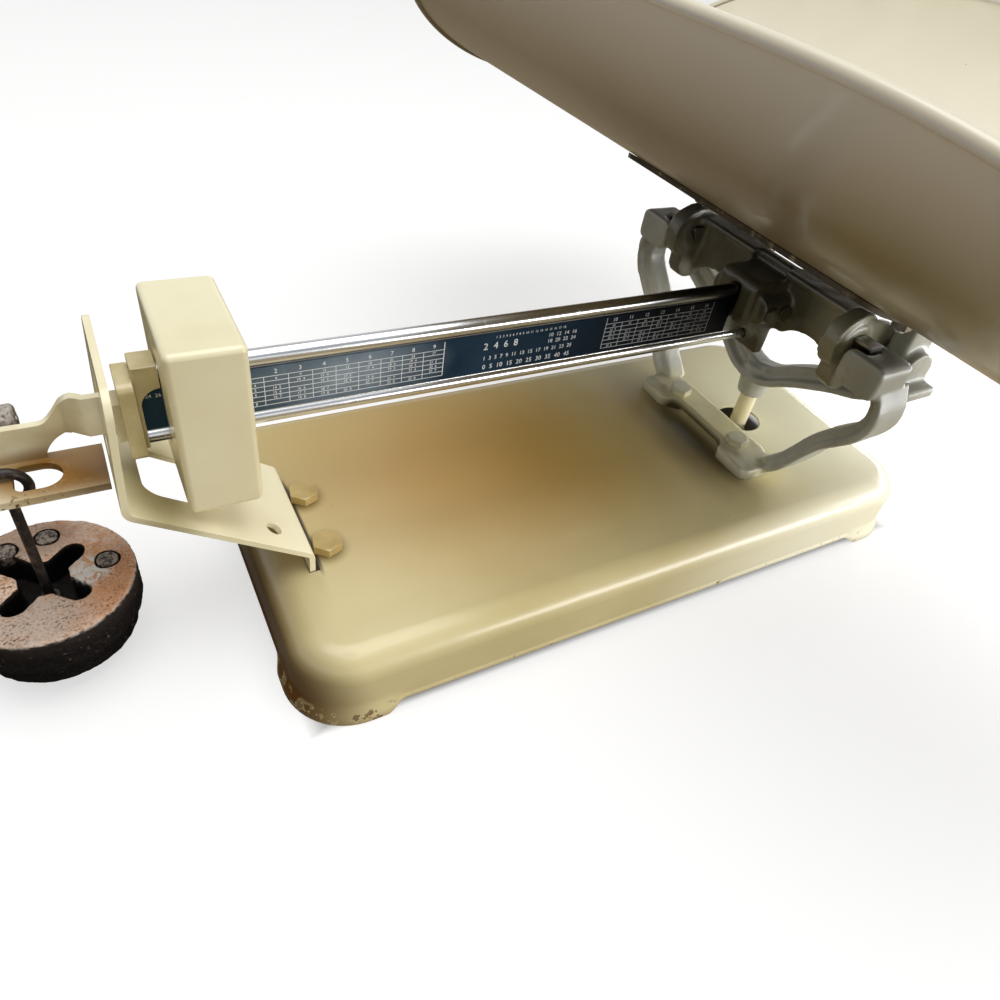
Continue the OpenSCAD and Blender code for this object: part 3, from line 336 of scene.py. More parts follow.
def brightSteel(name, look):
    material, tree, shader, place = startMaterial(name, look["rough"], 1.0)
    stretched = addNode(tree, "ShaderNodeMapping", {"Scale": look["lay"]}, {"Vector": place})
    lines = addNode(tree, "ShaderNodeTexNoise", {"Scale": 1 / steelSkin["scratch"], "Detail": 3.0},
        {"Vector": stretched.outputs[0]})
    colour = addNode(tree, "ShaderNodeValToRGB", {"stops": ((0.3, look["dark"]), (0.6, look["light"]))},
        {0: lines.outputs["Fac"]}).outputs[0]
    tarnish = roughPatches(tree, place, steelSkin["tarnishSize"], 0.60, 0.16)
    colour = layColour(tree, colour, look["tarnish"], tarnish, look["tarnishShare"])
    colour = layPatches(tree, place, colour, look.get("patches", ()))
    tree.links.new(colour, shader.inputs["Base Color"])
    matt = addNode(tree, "ShaderNodeMapRange",
        {"To Min": look["rough"], "To Max": look["rough"] + steelSkin["tarnishRough"]}, {"Value": tarnish})
    tree.links.new(matt.outputs[0], shader.inputs["Roughness"])
    addBump(tree, shader, lines.outputs["Fac"], look["depth"])
    return material


low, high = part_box("beam_bar")
chromedSteel = brightSteel("chromedSteelRail", {
    "light": "#E4E6E8", "dark": "#CFD2D5", "rough": 0.2, "depth": 0.004 * mm, "lay": (0.03, 1, 1),
    "tarnish": "#8D9092", "tarnishShare": 0.35, "patches": (
        # Painted dark reflection of the tray and hub on the rails' right end
        ((high.x, 0, high.z), (0.135, 0.020, 0.016), "#242624", 0.9),)})
hardSteel = brightSteel("groundHardSteel", {
    "light": "#A8A6A2", "dark": "#7C7A76", "rough": 0.3, "depth": 0.01 * mm, "lay": (1, 0.05, 1),
    "tarnish": "#4E4640", "tarnishShare": 0.5})
plainSteel = brightSteel("plainSteelFastener", {
    "light": "#A09C95", "dark": "#76726B", "rough": 0.38, "depth": 0.02 * mm, "lay": (1, 1, 1),
    "tarnish": "#5B4A3A", "tarnishShare": 0.6})

# Lacquered plate: blue-black, with painted glare that pales it towards the tip where the light lies on it, and
# scratches along the beam
lacquer = {"base": "#020409", "rough": 0.26, "glareTint": "#324D64", "fade": (0.02, -0.14), "glare": "#B4C4D0",
    "glareShare": 0.85, "cloud": "#08131E", "cloudSize": 45 * mm, "scratch": "#4A5A66", "scratchSize": 0.5 * mm,
    "specular": 0.06, "coat": 0.02, "coatRough": 0.08}


def navyLacquer():
    material, tree, shader, place = startMaterial("navyLacquerPlate", lacquer["rough"])
    along = addNode(tree, "ShaderNodeSeparateXYZ", None, {0: place}).outputs[0]
    glareTint = addNode(tree, "ShaderNodeMapRange",
        {"From Min": baseMiddle + lacquer["fade"][0], "From Max": baseMiddle + lacquer["fade"][1]},
        {"Value": along}).outputs[0]
    colour = layColour(tree, lacquer["base"], lacquer["glareTint"], glareTint)
    glare = patchMask(tree, place, (baseMiddle - 0.138, -3.5 * mm, 0.116), (0.052, 0.005, 0.020))
    colour = layColour(tree, colour, lacquer["glare"], glare, lacquer["glareShare"])
    cloud = roughPatches(tree, place, lacquer["cloudSize"], 0.35, 0.3)
    colour = layColour(tree, colour, lacquer["cloud"], cloud, 0.5)
    stretched = addNode(tree, "ShaderNodeMapping", {"Scale": (0.05, 1, 1)}, {"Vector": place})
    hair = roughPatches(tree, stretched.outputs[0], lacquer["scratchSize"], 0.70, 0.05)
    colour = layColour(tree, colour, lacquer["scratch"], hair, 0.4)
    tree.links.new(colour, shader.inputs["Base Color"])
    shader.inputs["Specular IOR Level"].default_value = lacquer["specular"]
    shader.inputs["Coat Weight"].default_value = lacquer["coat"]
    shader.inputs["Coat Roughness"].default_value = lacquer["coatRough"]
    addBump(tree, shader, hair, 0.01 * mm)
    return material


plateLacquer = navyLacquer()


# Screen-printed white ink, worn to grey in places, and dimmer towards the hub with painted shade
def printedInk():
    material, tree, shader, place = startMaterial("whitePrintedInk", 0.5)
    worn = roughPatches(tree, place, 3 * mm, 0.6, 0.12)
    colour = layColour(tree, "#E9EDEE", "#93A0A8", worn, 0.7)
    along = addNode(tree, "ShaderNodeSeparateXYZ", None, {0: place}).outputs[0]
    dimmer = addNode(tree, "ShaderNodeMapRange", {"From Min": baseMiddle - 0.07, "From Max": baseMiddle + 0.05},
        {"Value": along}).outputs[0]
    tree.links.new(layColour(tree, colour, "#4E5357", dimmer, 0.8), shader.inputs["Base Color"])
    addBump(tree, shader, worn, 0.01 * mm)
    return material


whiteInk = printedInk()


# A disc's recess is painted dark as shade, and its upper edge is painted bright all round: rubbed metal with a
# painted highlight
def recessShadeAndRimHighlight(tree, place, height, colour, look):
    centre, radius, bright = look["rubbed"]
    rim = look["rimZ"]
    moved = addNode(tree, "ShaderNodeVectorMath", {"operation": "SUBTRACT", 1: (*centre, 0.0)},
        {0: place}).outputs[0]
    flat = addNode(tree, "ShaderNodeVectorMath", {"operation": "MULTIPLY", 1: (1.0, 1.0, 0.0)},
        {0: moved}).outputs[0]
    away = addNode(tree, "ShaderNodeVectorMath", {"operation": "LENGTH"}, {0: flat}).outputs["Value"]
    inside, deep, ring, top = [
        addNode(tree, "ShaderNodeMapRange", {"From Min": start, "From Max": end}, {"Value": value}).outputs[0]
        for value, start, end in (
            (away, radius - 3 * mm, radius - 6 * mm), (height, rim - 1.2 * mm, rim - 3.6 * mm),
            (away, radius - 1.6 * mm, radius - 0.4 * mm), (height, rim - 2.2 * mm, rim - 0.8 * mm))]
    colour = layColour(tree, colour, look["recess"], deep, inside, 0.95)
    flecks = roughPatches(tree, place, 2.4 * mm, 0.44, 0.1, 5.0)
    return layColour(tree, colour, bright, ring, top, flecks, 0.8)


# Grey cast iron left bare: a brown rust bloom on top, sides darkened as painted shade, pits, and bright metal
# where it is rubbed
def rustyIron(name, look):
    material, tree, shader, place = startMaterial(name, 0.62, 0.15)
    shader.inputs["Specular IOR Level"].default_value = look["gloss"]
    colour = layColour(tree, look["top"], look["bloom"], roughPatches(tree, place, 13 * mm, 0.47, 0.14))
    colour = layColour(tree, colour, look["pale"], roughPatches(tree, place, 3.2 * mm, 0.53, 0.12, 6.0))
    colour = layColour(tree, colour, look["orange"], roughPatches(tree, place, 6 * mm, 0.60, 0.08, 6.0), 0.75)
    facing = facingUp(tree)
    side = addNode(tree, "ShaderNodeMapRange", {"From Min": 0.8, "From Max": 0.35},
        {"Value": facing}).outputs[0]
    colour = layColour(tree, colour, look["side"], side, 0.97)
    height = addNode(tree, "ShaderNodeSeparateXYZ", None, {0: place}).outputs[2]
    if "rubbed" in look:  # painted shade darkens the sides downwards
        rim = look["rimZ"]
        lower = addNode(tree, "ShaderNodeMapRange", {"From Min": rim - 3 * mm, "From Max": rim - 9 * mm},
            {"Value": height}).outputs[0]
        colour = layColour(tree, colour, look["recess"], lower, 0.85)
    fleck = roughPatches(tree, place, 2.2 * mm, 0.63, 0.05, 5.0)
    colour = layColour(tree, colour, look["fleck"], fleck, side, 0.6)
    for centre, radii, code, share in look.get("tones", ()):
        tone = fullPatch(tree, place, centre, radii, 0.5)
        upward = addNode(tree, "ShaderNodeMapRange", {"From Min": 0.4, "From Max": 0.8},
            {"Value": facing}).outputs[0]
        colour = layColour(tree, colour, code, tone, upward, share)
    pits = roughPatches(tree, place, 1.1 * mm, 0.51, 0.10, 6.0)
    crowd = addNode(tree, "ShaderNodeMapRange", {"To Min": 0.25, "To Max": 0.95},
        {"Value": roughPatches(tree, place, 12 * mm, 0.42, 0.2)}).outputs[0]
    colour = layColour(tree, colour, look["pit"], pits, crowd)
    for centre, radii in look.get("worn", ()):
        near = fullPatch(tree, place, centre, radii, 0.4)
        colour = layColour(tree, colour, look["bright"], near, roughPatches(tree, place, 2.6 * mm, 0.42, 0.12))
    if "rubbed" in look:
        colour = recessShadeAndRimHighlight(tree, place, height, colour, look)
    tree.links.new(colour, shader.inputs["Base Color"])
    first = addBump(tree, shader, roughPatches(tree, place, 1.5 * mm, 0.45, 0.3, 6.0), -0.3 * mm)
    sand = addNode(tree, "ShaderNodeTexNoise", {"Scale": 1 / (0.5 * mm), "Detail": 3.0}, {"Vector": place})
    addBump(tree, shader, sand.outputs["Fac"], 0.08 * mm, first)
    return material


low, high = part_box("weight_disc")
weightX, weightY = (low.x + high.x) / 2, (low.y + high.y) / 2
# The weight's near-black sides and recess are painted shade, and its bright rim is rubbed metal with a painted
# highlight
weightIron = rustyIron("rustyGreyIronWeight", {
    "top": "#E8C6AC", "bloom": "#D3A380", "pale": "#E4D3C6", "orange": "#C47A44", "side": "#121416",
    "recess": "#080707", "fleck": "#8A8884", "pit": "#2E211A", "gloss": 0.2, "bright": "#D8D4CC",
    "rimZ": high.z, "rubbed": ((weightX, weightY), (high.x - low.x) / 2, "#CDBFB2"),
    "tones": (
        ((weightX + 0.024, weightY - 0.012, high.z), (0.022, 0.030, 0.012), "#C48A5E", 0.75),
        ((weightX - 0.004, weightY - 0.022, high.z), (0.024, 0.020, 0.012), "#B3A396", 0.7),
        ((weightX - 0.006, weightY + 0.024, high.z), (0.030, 0.016, 0.012), "#8E7767", 0.7)),
    "worn": (((weightX + 0.016, weightY - 0.002, high.z - 0.001), (0.010, 0.010, 0.006)),)})
nutIron = rustyIron("rustyNut", {
    "top": "#B5ADA2", "bloom": "#8E8072", "pale": "#DAD4CB", "orange": "#8E5F3A", "side": "#948C82",
    "fleck": "#C8C2B8", "pit": "#41362E", "gloss": 0.5})


# Black oxide on bent wire: near black, rubbed to brown in places
def blackOxide():
    material, tree, shader, place = startMaterial("blackOxideWire", 0.42, 0.5)
    rubbed = roughPatches(tree, place, 6 * mm, 0.52, 0.14)
    tree.links.new(layColour(tree, "#2E2926", "#5E5148", rubbed), shader.inputs["Base Color"])
    pits = addNode(tree, "ShaderNodeTexNoise", {"Scale": 1 / (0.8 * mm), "Detail": 3.0}, {"Vector": place})
    addBump(tree, shader, pits.outputs["Fac"], 0.06 * mm)
    return material


hookBlack = blackOxide()


# Lead plug: dull grey-brown, dented when it was driven in
def dullLead():
    material, tree, shader, place = startMaterial("dullLeadPlug", 0.55, 0.4)
    dents = roughPatches(tree, place, 1.8 * mm, 0.42, 0.16)
    tree.links.new(layColour(tree, "#8A7D70", "#2B2420", dents), shader.inputs["Base Color"])
    addBump(tree, shader, dents, -0.15 * mm)
    return material


plugLead = dullLead()
print("metals ready")


def deselectAll():
    if bpy.context.object and bpy.context.object.mode != "OBJECT":
        bpy.ops.object.mode_set(mode="OBJECT")
    bpy.ops.object.select_all(action="DESELECT")


def makeActive(*pieces):
    deselectAll()
    for piece in pieces:
        piece.select_set(True)
    bpy.context.view_layer.objects.active = pieces[0]


def useModifier(piece, kind, settings):
    makeActive(piece)
    modifier = piece.modifiers.new(kind.title(), kind)
    for key, value in settings.items():
        setattr(modifier, key, value)
    bpy.ops.object.modifier_apply(modifier=modifier.name)


def dropPlace(piece):
    makeActive(piece)
    bpy.ops.object.transform_apply(location=True, rotation=True, scale=True)


def joinPieces(pieces):
    makeActive(*pieces)
    bpy.ops.object.join()
    return bpy.context.object


def cutAway(piece, cutter):
    dropPlace(cutter)
    useModifier(piece, "BOOLEAN", {"operation": "DIFFERENCE", "solver": "EXACT", "object": cutter})
    bpy.data.objects.remove(cutter)


# Selects edges by a test on their two ends, or faces by one on middle and normal, and opens edit mode
def pickParts(piece, kind, test):
    bpy.ops.object.mode_set(mode="OBJECT")
    mesh = piece.data
    for part in (*mesh.vertices, *mesh.edges, *mesh.polygons):
        part.select = False
    if kind == "EDGE":
        for edge in mesh.edges:
            edge.select = test(*(mesh.vertices[i].co for i in edge.vertices))
    else:
        for face in mesh.polygons:
            face.select = test(face.center, face.normal)
    bpy.context.tool_settings.mesh_select_mode = (False, kind == "EDGE", kind == "FACE")
    bpy.ops.object.mode_set(mode="EDIT")


def setSmooth(piece, angle):
    makeActive(piece)
    bpy.ops.object.shade_smooth_by_angle(angle=math.radians(angle))


# Smooth shading that keeps large flats flat beside small rounded edges
def shadeFlats(piece, angle, weight):
    setSmooth(piece, angle)
    useModifier(piece, "WEIGHTED_NORMAL", {"keep_sharp": True, "weight": weight})


def placePiece(piece, name, body, material, replaced=()):
    piece.name = name
    piece.data.name = name
    piece.data.materials.clear()
    piece.data.materials.append(material)
    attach(piece, body)
    if replaced:
        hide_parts(*replaced)
    return piece


# A merged copy of a CAD node's mesh with its flats made whole, ready for its edges to be worked
def nodeCopy(node):
    deselectAll()
    piece = bpy.data.objects.new(node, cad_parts[node].data.copy())
    scene.collection.objects.link(piece)
    makeActive(piece)
    bpy.ops.object.mode_set(mode="EDIT")
    bpy.ops.mesh.select_all(action="SELECT")
    bpy.ops.mesh.remove_doubles(threshold=0.002 * mm)
    bpy.ops.mesh.dissolve_limited(angle_limit=math.radians(1.0))
    bpy.ops.object.mode_set(mode="OBJECT")
    return piece


def easedNode(node, name, body, material, edge, angle, segments):
    piece = nodeCopy(node)
    useModifier(piece, "BEVEL", {"width": edge, "segments": segments, "limit_method": "ANGLE",
        "angle_limit": math.radians(angle), "use_clamp_overlap": True, "miter_outer": "MITER_ARC"})
    shadeFlats(piece, angle, 60)
    return placePiece(piece, name, body, material, (node,))


# A casting: the CAD solid skinned afresh, its corners run together in fillets and its faces a little uneven
def castNode(node, name, body, material, cast):
    piece = nodeCopy(node)
    useModifier(piece, "REMESH", {"mode": "VOXEL", "voxel_size": cast["voxel"], "use_smooth_shade": True})
    useModifier(piece, "SMOOTH", {"factor": 0.5, "iterations": cast["fillet"]})
    if cast["uneven"]:
        swell = bpy.data.textures.new(name + "Swell", "CLOUDS")
        swell.noise_scale = cast["swell"]
        swell.noise_depth = 3
        useModifier(piece, "DISPLACE", {"texture": swell, "strength": cast["uneven"],
            "mid_level": cast.get("level", 0.5), "texture_coords": "LOCAL"})
    makeActive(piece)
    bpy.ops.object.shade_smooth()
    return placePiece(piece, name, body, material, (node,))


# The pressed base: a shell with rounded top edges, a rolled bead and four flared corner feet. Its walls are cut
# into rings, at heights in mm, and columns, so that the feet can be shaped.
pressedBase = {"corner": 26 * mm, "round": 12.5 * mm, "sheet": 1.6 * mm, "skirt": 4 * mm, "bead": 0.7 * mm,
    "beadHeight": 2.8 * mm, "flare": 3 * mm, "rise": 11 * mm, "reach": 38 * mm, "fade": 9 * mm,
    "rings": (4.5, 5.1, 5.8, 6.4, 6.8, 7.6, 8.4, 9.4, 10.2, 11), "columns": 13, "columnPitch": 1.7 * mm,
    "stemHole": 26 * mm, "slot": (4.85 * mm, 60.6 * mm), "cutDepth": 20 * mm}


def ease(t):
    t = min(max(t, 0.0), 1.0)
    return t * t * (3 - 2 * t)


def shapeFeet(piece, middle, size):
    settings = pressedBase
    inner = Vector((size.x / 2 - settings["corner"], size.y / 2 - settings["corner"]))
    for vertex in piece.data.vertices:
        x, y, z = vertex.co.x - middle, vertex.co.y, vertex.co.z
        if z > settings["rise"] + 0.01 * mm:
            continue
        hold = Vector((min(max(x, -inner.x), inner.x), min(max(y, -inner.y), inner.y)))
        out = Vector((x, y)) - hold
        if out.length < 1 * mm:
            continue
        out.normalize()
        past = max(inner.x - abs(x), inner.y - abs(y), 0.0)  # along the wall from the end of the corner's arc
        start = settings["reach"] - settings["corner"] - settings["fade"] / 2  # where the foot begins to fade
        foot = 1 - ease((past - start) / settings["fade"])
        down = min(max((settings["rise"] - z) / (settings["rise"] - settings["skirt"]), 0.0), 1.0)
        roll = min(max((z - settings["skirt"]) / settings["beadHeight"], 0.0), 1.0)
        bead = settings["bead"] * math.sin(math.pi * (0.25 + 0.75 * roll)) * (1 - foot) if roll < 1 else 0.0
        flare = settings["flare"] * (1 - math.cos(math.pi * down)) / 2 * foot
        vertex.co.x += out.x * (flare + bead)
        vertex.co.y += out.y * (flare + bead)
        vertex.co.z = z - settings["skirt"] * down * foot


def makeBase():
    settings = pressedBase
    low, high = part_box("base_shell")
    size = Vector((high.x - low.x - 2 * settings["flare"], high.y - low.y - 2 * settings["flare"], high.z))
    middle = (low.x + high.x) / 2
    deselectAll()
    bpy.ops.mesh.primitive_cube_add(size=1, location=(middle, 0, (settings["skirt"] + high.z) / 2),
        scale=(size.x, size.y, high.z - settings["skirt"]))
    piece = bpy.context.object
    dropPlace(piece)
    pickParts(piece, "EDGE", lambda a, b: abs(a.z - b.z) > 1 * mm)
    bpy.ops.mesh.bevel(offset=settings["corner"], segments=16, profile=0.5, affect="EDGES")
    pickParts(piece, "EDGE", lambda a, b: min(a.z, b.z) > high.z - 0.1 * mm)
    bpy.ops.mesh.bevel(offset=settings["round"], segments=10, profile=0.5, affect="EDGES")
    pickParts(piece, "FACE", lambda centre, normal: normal.z < -0.9)
    bpy.ops.mesh.delete(type="FACE")
    for z in settings["rings"]:
        bpy.ops.mesh.select_all(action="SELECT")
        bpy.ops.mesh.bisect(plane_co=(0, 0, z * mm), plane_no=(0, 0, 1))
    for k in range(settings["columns"]):
        inset = settings["corner"] + k * settings["columnPitch"]
        for side in (-1, 1):
            bpy.ops.mesh.select_all(action="SELECT")
            bpy.ops.mesh.bisect(plane_co=(middle + side * (size.x / 2 - inset), 0, 0), plane_no=(1, 0, 0))
            bpy.ops.mesh.select_all(action="SELECT")
            bpy.ops.mesh.bisect(plane_co=(0, side * (size.y / 2 - inset), 0), plane_no=(0, 1, 0))
    bpy.ops.object.mode_set(mode="OBJECT")
    shapeFeet(piece, middle, size)
    useModifier(piece, "SOLIDIFY", {"thickness": settings["sheet"], "offset": -1.0, "use_even_offset": True})
    for vertex in piece.data.vertices:
        vertex.co.z = max(vertex.co.z, 0.0)
    stemX = sum(c.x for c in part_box("stem")) / 2
    bpy.ops.mesh.primitive_cylinder_add(vertices=64, radius=settings["stemHole"] / 2,
        depth=settings["cutDepth"], location=(stemX, 0, high.z))
    cutAway(piece, bpy.context.object)
    bpy.ops.mesh.primitive_cube_add(size=1, location=(slitX, 0, high.z),
        scale=(*settings["slot"], settings["cutDepth"]))
    cutAway(piece, bpy.context.object)
    shadeFlats(piece, 40, 80)
    return placePiece(piece, "pressedBase", "base", baseEnamel, ("base_shell",))


makeBase()
print("base pressed")

# Sheet pieces with their edges eased, as tumbled and enamelled steel has them
easedNode("loop_bracket", "loopBracket", "base", bracketEnamel, 0.7 * mm, 40, 3)
easedNode("bracket_bolts", "bracketBolts", "base", boltEnamel, 0.9 * mm, 30, 3)
easedNode("stand_bolts", "standBolts", "base", castingEnamel, 0.6 * mm, 30, 3)
easedNode("beam_end_cap", "beamEndCap", "lever", shadedEnamel, 0.45 * mm, 40, 2)
easedNode("beam_end_plate", "beamEndPlate", "lever", shadedEnamel, 0.9 * mm, 40, 3)
easedNode("beam_tip", "beamTip", "lever", tipEnamel, 0.7 * mm, 40, 3)
easedNode("tip_rivets", "tipRivets", "lever", boltEnamel, 0.5 * mm, 40, 3)
easedNode("tray_saddle", "traySaddle", "load_frame", saddleEnamel, 0.6 * mm, 40, 2)
easedNode("link_bracket", "linkBracket", "base", castingEnamel, 0.5 * mm, 40, 2)
easedNode("stem", "frameStem", "load_frame", creamEnamel, 0.5 * mm, 40, 2)

# The three sand castings of the mechanism
sandCast = {"voxel": 1.1 * mm, "fillet": 6, "uneven": 0.5 * mm, "swell": 14 * mm}
castNode("stand_yoke", "standYoke", "base", castingEnamel, sandCast)
castNode("load_spider", "loadSpider", "load_frame", castingEnamel, sandCast)
castNode("lever_casting", "leverCasting", "lever", darkCasting, sandCast)
print("castings skinned")

# Steel pieces and the beam's plates, their edges just broken
steelEdge = 0.15 * mm
for node, name, body, slotName, material in (
        ("fulcrum_bearings", "fulcrumBearings", "base", "hard_steel", hardSteel),
        ("load_bearings", "loadBearings", "load_frame", "hard_steel", hardSteel),
        ("fulcrum_knives", "fulcrumKnives", "lever", "hard_steel", hardSteel),
        ("load_knives", "loadKnives", "lever", "hard_steel", hardSteel),
        ("link_pin", "linkPin", "base", "hard_steel", hardSteel),
        ("stem_pin", "stemPin", "load_frame", "hard_steel", hardSteel),
        ("check_link", "checkLink", "link", "steel", plainSteel),
        ("bracket_nuts", "bracketNuts", "base", "steel", plainSteel),
        ("stand_nuts", "standNuts", "base", "steel", plainSteel),
        ("hub_screws", "hubScrews", "lever", "steel", darkCasting),
        ("balance_screw", "balanceScrew", "lever", "steel", plainSteel),
        ("poise_index", "poiseIndex", "poise", "steel", hardSteel),
        ("tray_bolts", "trayBolts", "load_frame", "steel", chromedSteel),
        ("tray_nuts", "trayNuts", "load_frame", "steel", plainSteel),
        ("beam_bar", "beamRails", "lever", "bright_rail", chromedSteel),
        ("near_plate", "nearPlate", "lever", "navy_plate", plateLacquer),
        ("far_plate", "farPlate", "lever", "navy_plate", plateLacquer)):
    easedNode(node, name, body, material, steelEdge, 35, 1)
print("steel pieces eased")

# The main poise: a cast box with rounded edges, a passage for the beam and a reading window behind
poise = {"round": 2.4 * mm, "passage": (7.2 * mm, 33.6 * mm), "window": (17 * mm, 18 * mm), "overrun": 10 * mm}


def makePoise():
    low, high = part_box("main_poise")
    beamLow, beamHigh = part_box("beam_bar")
    beamZ = (beamLow.z + beamHigh.z) / 2
    middle = (low + high) / 2
    deselectAll()
    bpy.ops.mesh.primitive_cube_add(size=1, location=middle, scale=high - low)
    piece = bpy.context.object
    dropPlace(piece)
    useModifier(piece, "BEVEL", {"width": poise["round"], "segments": 6})
    for place, size in (
            ((middle.x, 0, beamZ), (high.x - low.x + poise["overrun"], *poise["passage"])),
            ((middle.x, high.y, beamZ), (poise["window"][0], 2 * high.y, poise["window"][1]))):
        bpy.ops.mesh.primitive_cube_add(size=1, location=place, scale=size)
        cutAway(piece, bpy.context.object)
    shadeFlats(piece, 30, 80)
    return placePiece(piece, "mainPoise", "poise", creamEnamel, ("main_poise",))


makePoise()

# The hanging weight, pitted all over, with its hook and its plugs, and the balance nut
castNode("weight_disc", "hangingWeight", "weight", weightIron,
    {"voxel": 0.7 * mm, "fillet": 3, "uneven": 0.9 * mm, "swell": 4 * mm, "level": 0.8})
castNode("weight_hook", "weightHook", "weight", hookBlack,
    {"voxel": 0.4 * mm, "fillet": 3, "uneven": 0})
castNode("weight_plugs", "weightPlugs", "weight", plugLead,
    {"voxel": 0.35 * mm, "fillet": 3, "uneven": 0.25 * mm, "swell": 2 * mm})
castNode("balance_nut", "balanceNut", "nut", nutIron,
    {"voxel": 0.35 * mm, "fillet": 2, "uneven": 0.2 * mm, "swell": 2 * mm})
print("poise and weight made")

# The tray: a sheet curved on one radius, cut to a rounded outline, its edge rolled over a wire
tray = {"radius": 165 * mm, "sheet": 1.5 * mm, "rim": 2.6 * mm, "power": 4, "grid": (72, 110), "rimPoints": 288}


def makeTray():
    low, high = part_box("tray")
    sheetLow = low.z + tray["rim"] - tray["sheet"] / 2  # the rolled rim hangs below the sheet at both ends
    halfWide = (high.x - low.x) / 2 - tray["rim"]
    halfLong = (high.y - low.y) / 2 - tray["rim"]
    middleX = (low.x + high.x) / 2
    bend = tray["radius"] - tray["sheet"] / 2
    axisZ = sheetLow + tray["radius"]

    # A point of a square from -1 to 1, drawn in to the rounded outline and laid on the tray's curve
    def onCurve(u, v):
        reach = max(abs(u), abs(v))
        if reach > 1e-9:
            square = reach / math.hypot(u, v)
            angle = math.atan2(v, u)
            power = tray["power"]
            rounded = (abs(math.cos(angle)) ** power + abs(math.sin(angle)) ** power) ** (-1 / power)
            u, v = u * rounded * square, v * rounded * square
        x = u * halfWide
        return Vector((middleX + x, v * halfLong, axisZ - math.sqrt(bend * bend - x * x)))

    deselectAll()
    bpy.ops.mesh.primitive_grid_add(x_subdivisions=tray["grid"][0], y_subdivisions=tray["grid"][1], size=2)
    sheet = bpy.context.object
    for vertex in sheet.data.vertices:
        vertex.co = onCurve(vertex.co.x, vertex.co.y)
    useModifier(sheet, "SOLIDIFY", {"thickness": tray["sheet"], "offset": 0.0})
    makeActive(sheet)
    bpy.ops.object.mode_set(mode="EDIT")
    bpy.ops.mesh.select_all(action="SELECT")
    bpy.ops.mesh.normals_make_consistent(inside=False)
    bpy.ops.object.mode_set(mode="OBJECT")
    deselectAll()
    bpy.ops.mesh.primitive_circle_add(vertices=tray["rimPoints"], radius=1)
    rim = bpy.context.object
    for vertex in rim.data.vertices:
        flat = vertex.co.copy()
        square = 1 / max(abs(flat.x), abs(flat.y))
        vertex.co = onCurve(flat.x * square, flat.y * square)
    makeActive(rim)
    bpy.ops.object.convert(target="CURVE")
    rim.data.bevel_depth = tray["rim"]
    rim.data.bevel_resolution = 4
    rim.data.use_fill_caps = False
    bpy.ops.object.convert(target="MESH")
    piece = joinPieces([sheet, rim])
    setSmooth(piece, 50)
    return placePiece(piece, "curvedTray", "load_frame", trayEnamel, ("tray",))


makeTray()
print("tray formed")

# White print on both plates: ruled tables of plain figures on the near side, graduations on the far side.
# Each table has its left edge, measured from the base's middle, and its columns. Each line has its figures, its
# middle from the base's middle, its height over the ground and the height of its figures, in mm. A tick on the
# far side comes every so many parts of a pound, and its length is in mm too.
printing = {"ink": 0.05 * mm, "rule": 0.24 * mm, "frameRule": 1.4, "capShare": 0.7,
    "tables": ((-178.1 * mm, 9), (-10.0 * mm, 7)), "pitch": 9.4 * mm, "rowPitch": 2.15 * mm, "rows": 6,
    "header": 4.0 * mm, "frameDrop": 0.5 * mm, "headDrop": 2.9 * mm, "head": 1.9 * mm, "cell": 1.15 * mm,
    "cellLift": 0.5 * mm, "lines": (
        ("1  2  3  4  5  6  7  8  9  10  11  12  13  14  15  16  17  18", -51, 122.0, 1.1),
        ("2  4  6  8", -66, 116.9, 3.3), ("10  12  14  16", -34, 118.6, 1.9),
        ("18  20  22  24", -34, 115.5, 1.9), ("1  3  5  7  9  11  13  15  17  19  21  23  25", -51, 111.6, 1.9),
        ("0  5  10  15  20  25  30  35  40  45", -51, 107.0, 2.3), ("24  26", -207.6, 119.0, 1.5))}
graduations = {"travel": 232.5 * mm, "pounds": 15, "parts": 16, "ticks": ((1, 1.1), (8, 1.9), (16, 3.0)),
    "topDrop": 13.2 * mm, "figure": 2.0 * mm, "figureLift": 0.5 * mm}


def printText(body, x, z, height, side, lines=1.0):
    deselectAll()
    bpy.ops.object.text_add(location=(x, side, z), rotation=(math.pi / 2, 0, 0 if side < 0 else math.pi))
    label = bpy.context.object
    label.data.body = body
    label.data.size = height / printing["capShare"]
    label.data.extrude = printing["ink"]
    label.data.resolution_u = 2
    label.data.align_x = "CENTER"
    label.data.space_line = lines
    bpy.ops.object.convert(target="MESH")
    return bpy.context.object


def printBlock(x, z, width, height, side):
    deselectAll()
    bpy.ops.mesh.primitive_cube_add(size=1, location=(x, side, z), scale=(width, 2 * printing["ink"], height))
    return bpy.context.object


def printTable(middleX, columns, topZ, side, first):
    pitch, step, rule = printing["pitch"], printing["rowPitch"], printing["rule"]
    gridTop = topZ - printing["header"]
    gridLow = gridTop - printing["rows"] * step
    width = columns * pitch
    marks = [printBlock(middleX, gridTop - k * step, width, rule, side) for k in range(printing["rows"] + 1)]
    for k in range(columns + 1):
        x = middleX + (k - columns / 2) * pitch
        top = topZ - printing["frameDrop"] if k in (0, columns) else gridTop
        thick = printing["frameRule"] * rule if k == columns else rule
        marks.append(printBlock(x, (top + gridLow) / 2, thick, top - gridLow, side))
    for k in range(columns):
        x = middleX + (k + 0.5 - columns / 2) * pitch
        marks.append(printText(str(first + k), x, topZ - printing["headDrop"], printing["head"], side))
        rows = [str(3 * (first + k))]
        for row in range(1, printing["rows"]):
            shown = (2 * row + 5 * k) % 7 > 1
            rows.append("%d  %d" % (10 + first + k + row, 3 + row) if shown else " ")
        spacing = step / (printing["cell"] / printing["capShare"])
        lowZ = gridTop - step + printing["cellLift"]
        marks.append(printText("\n".join(rows), x, lowZ, printing["cell"], side, spacing))
    return marks


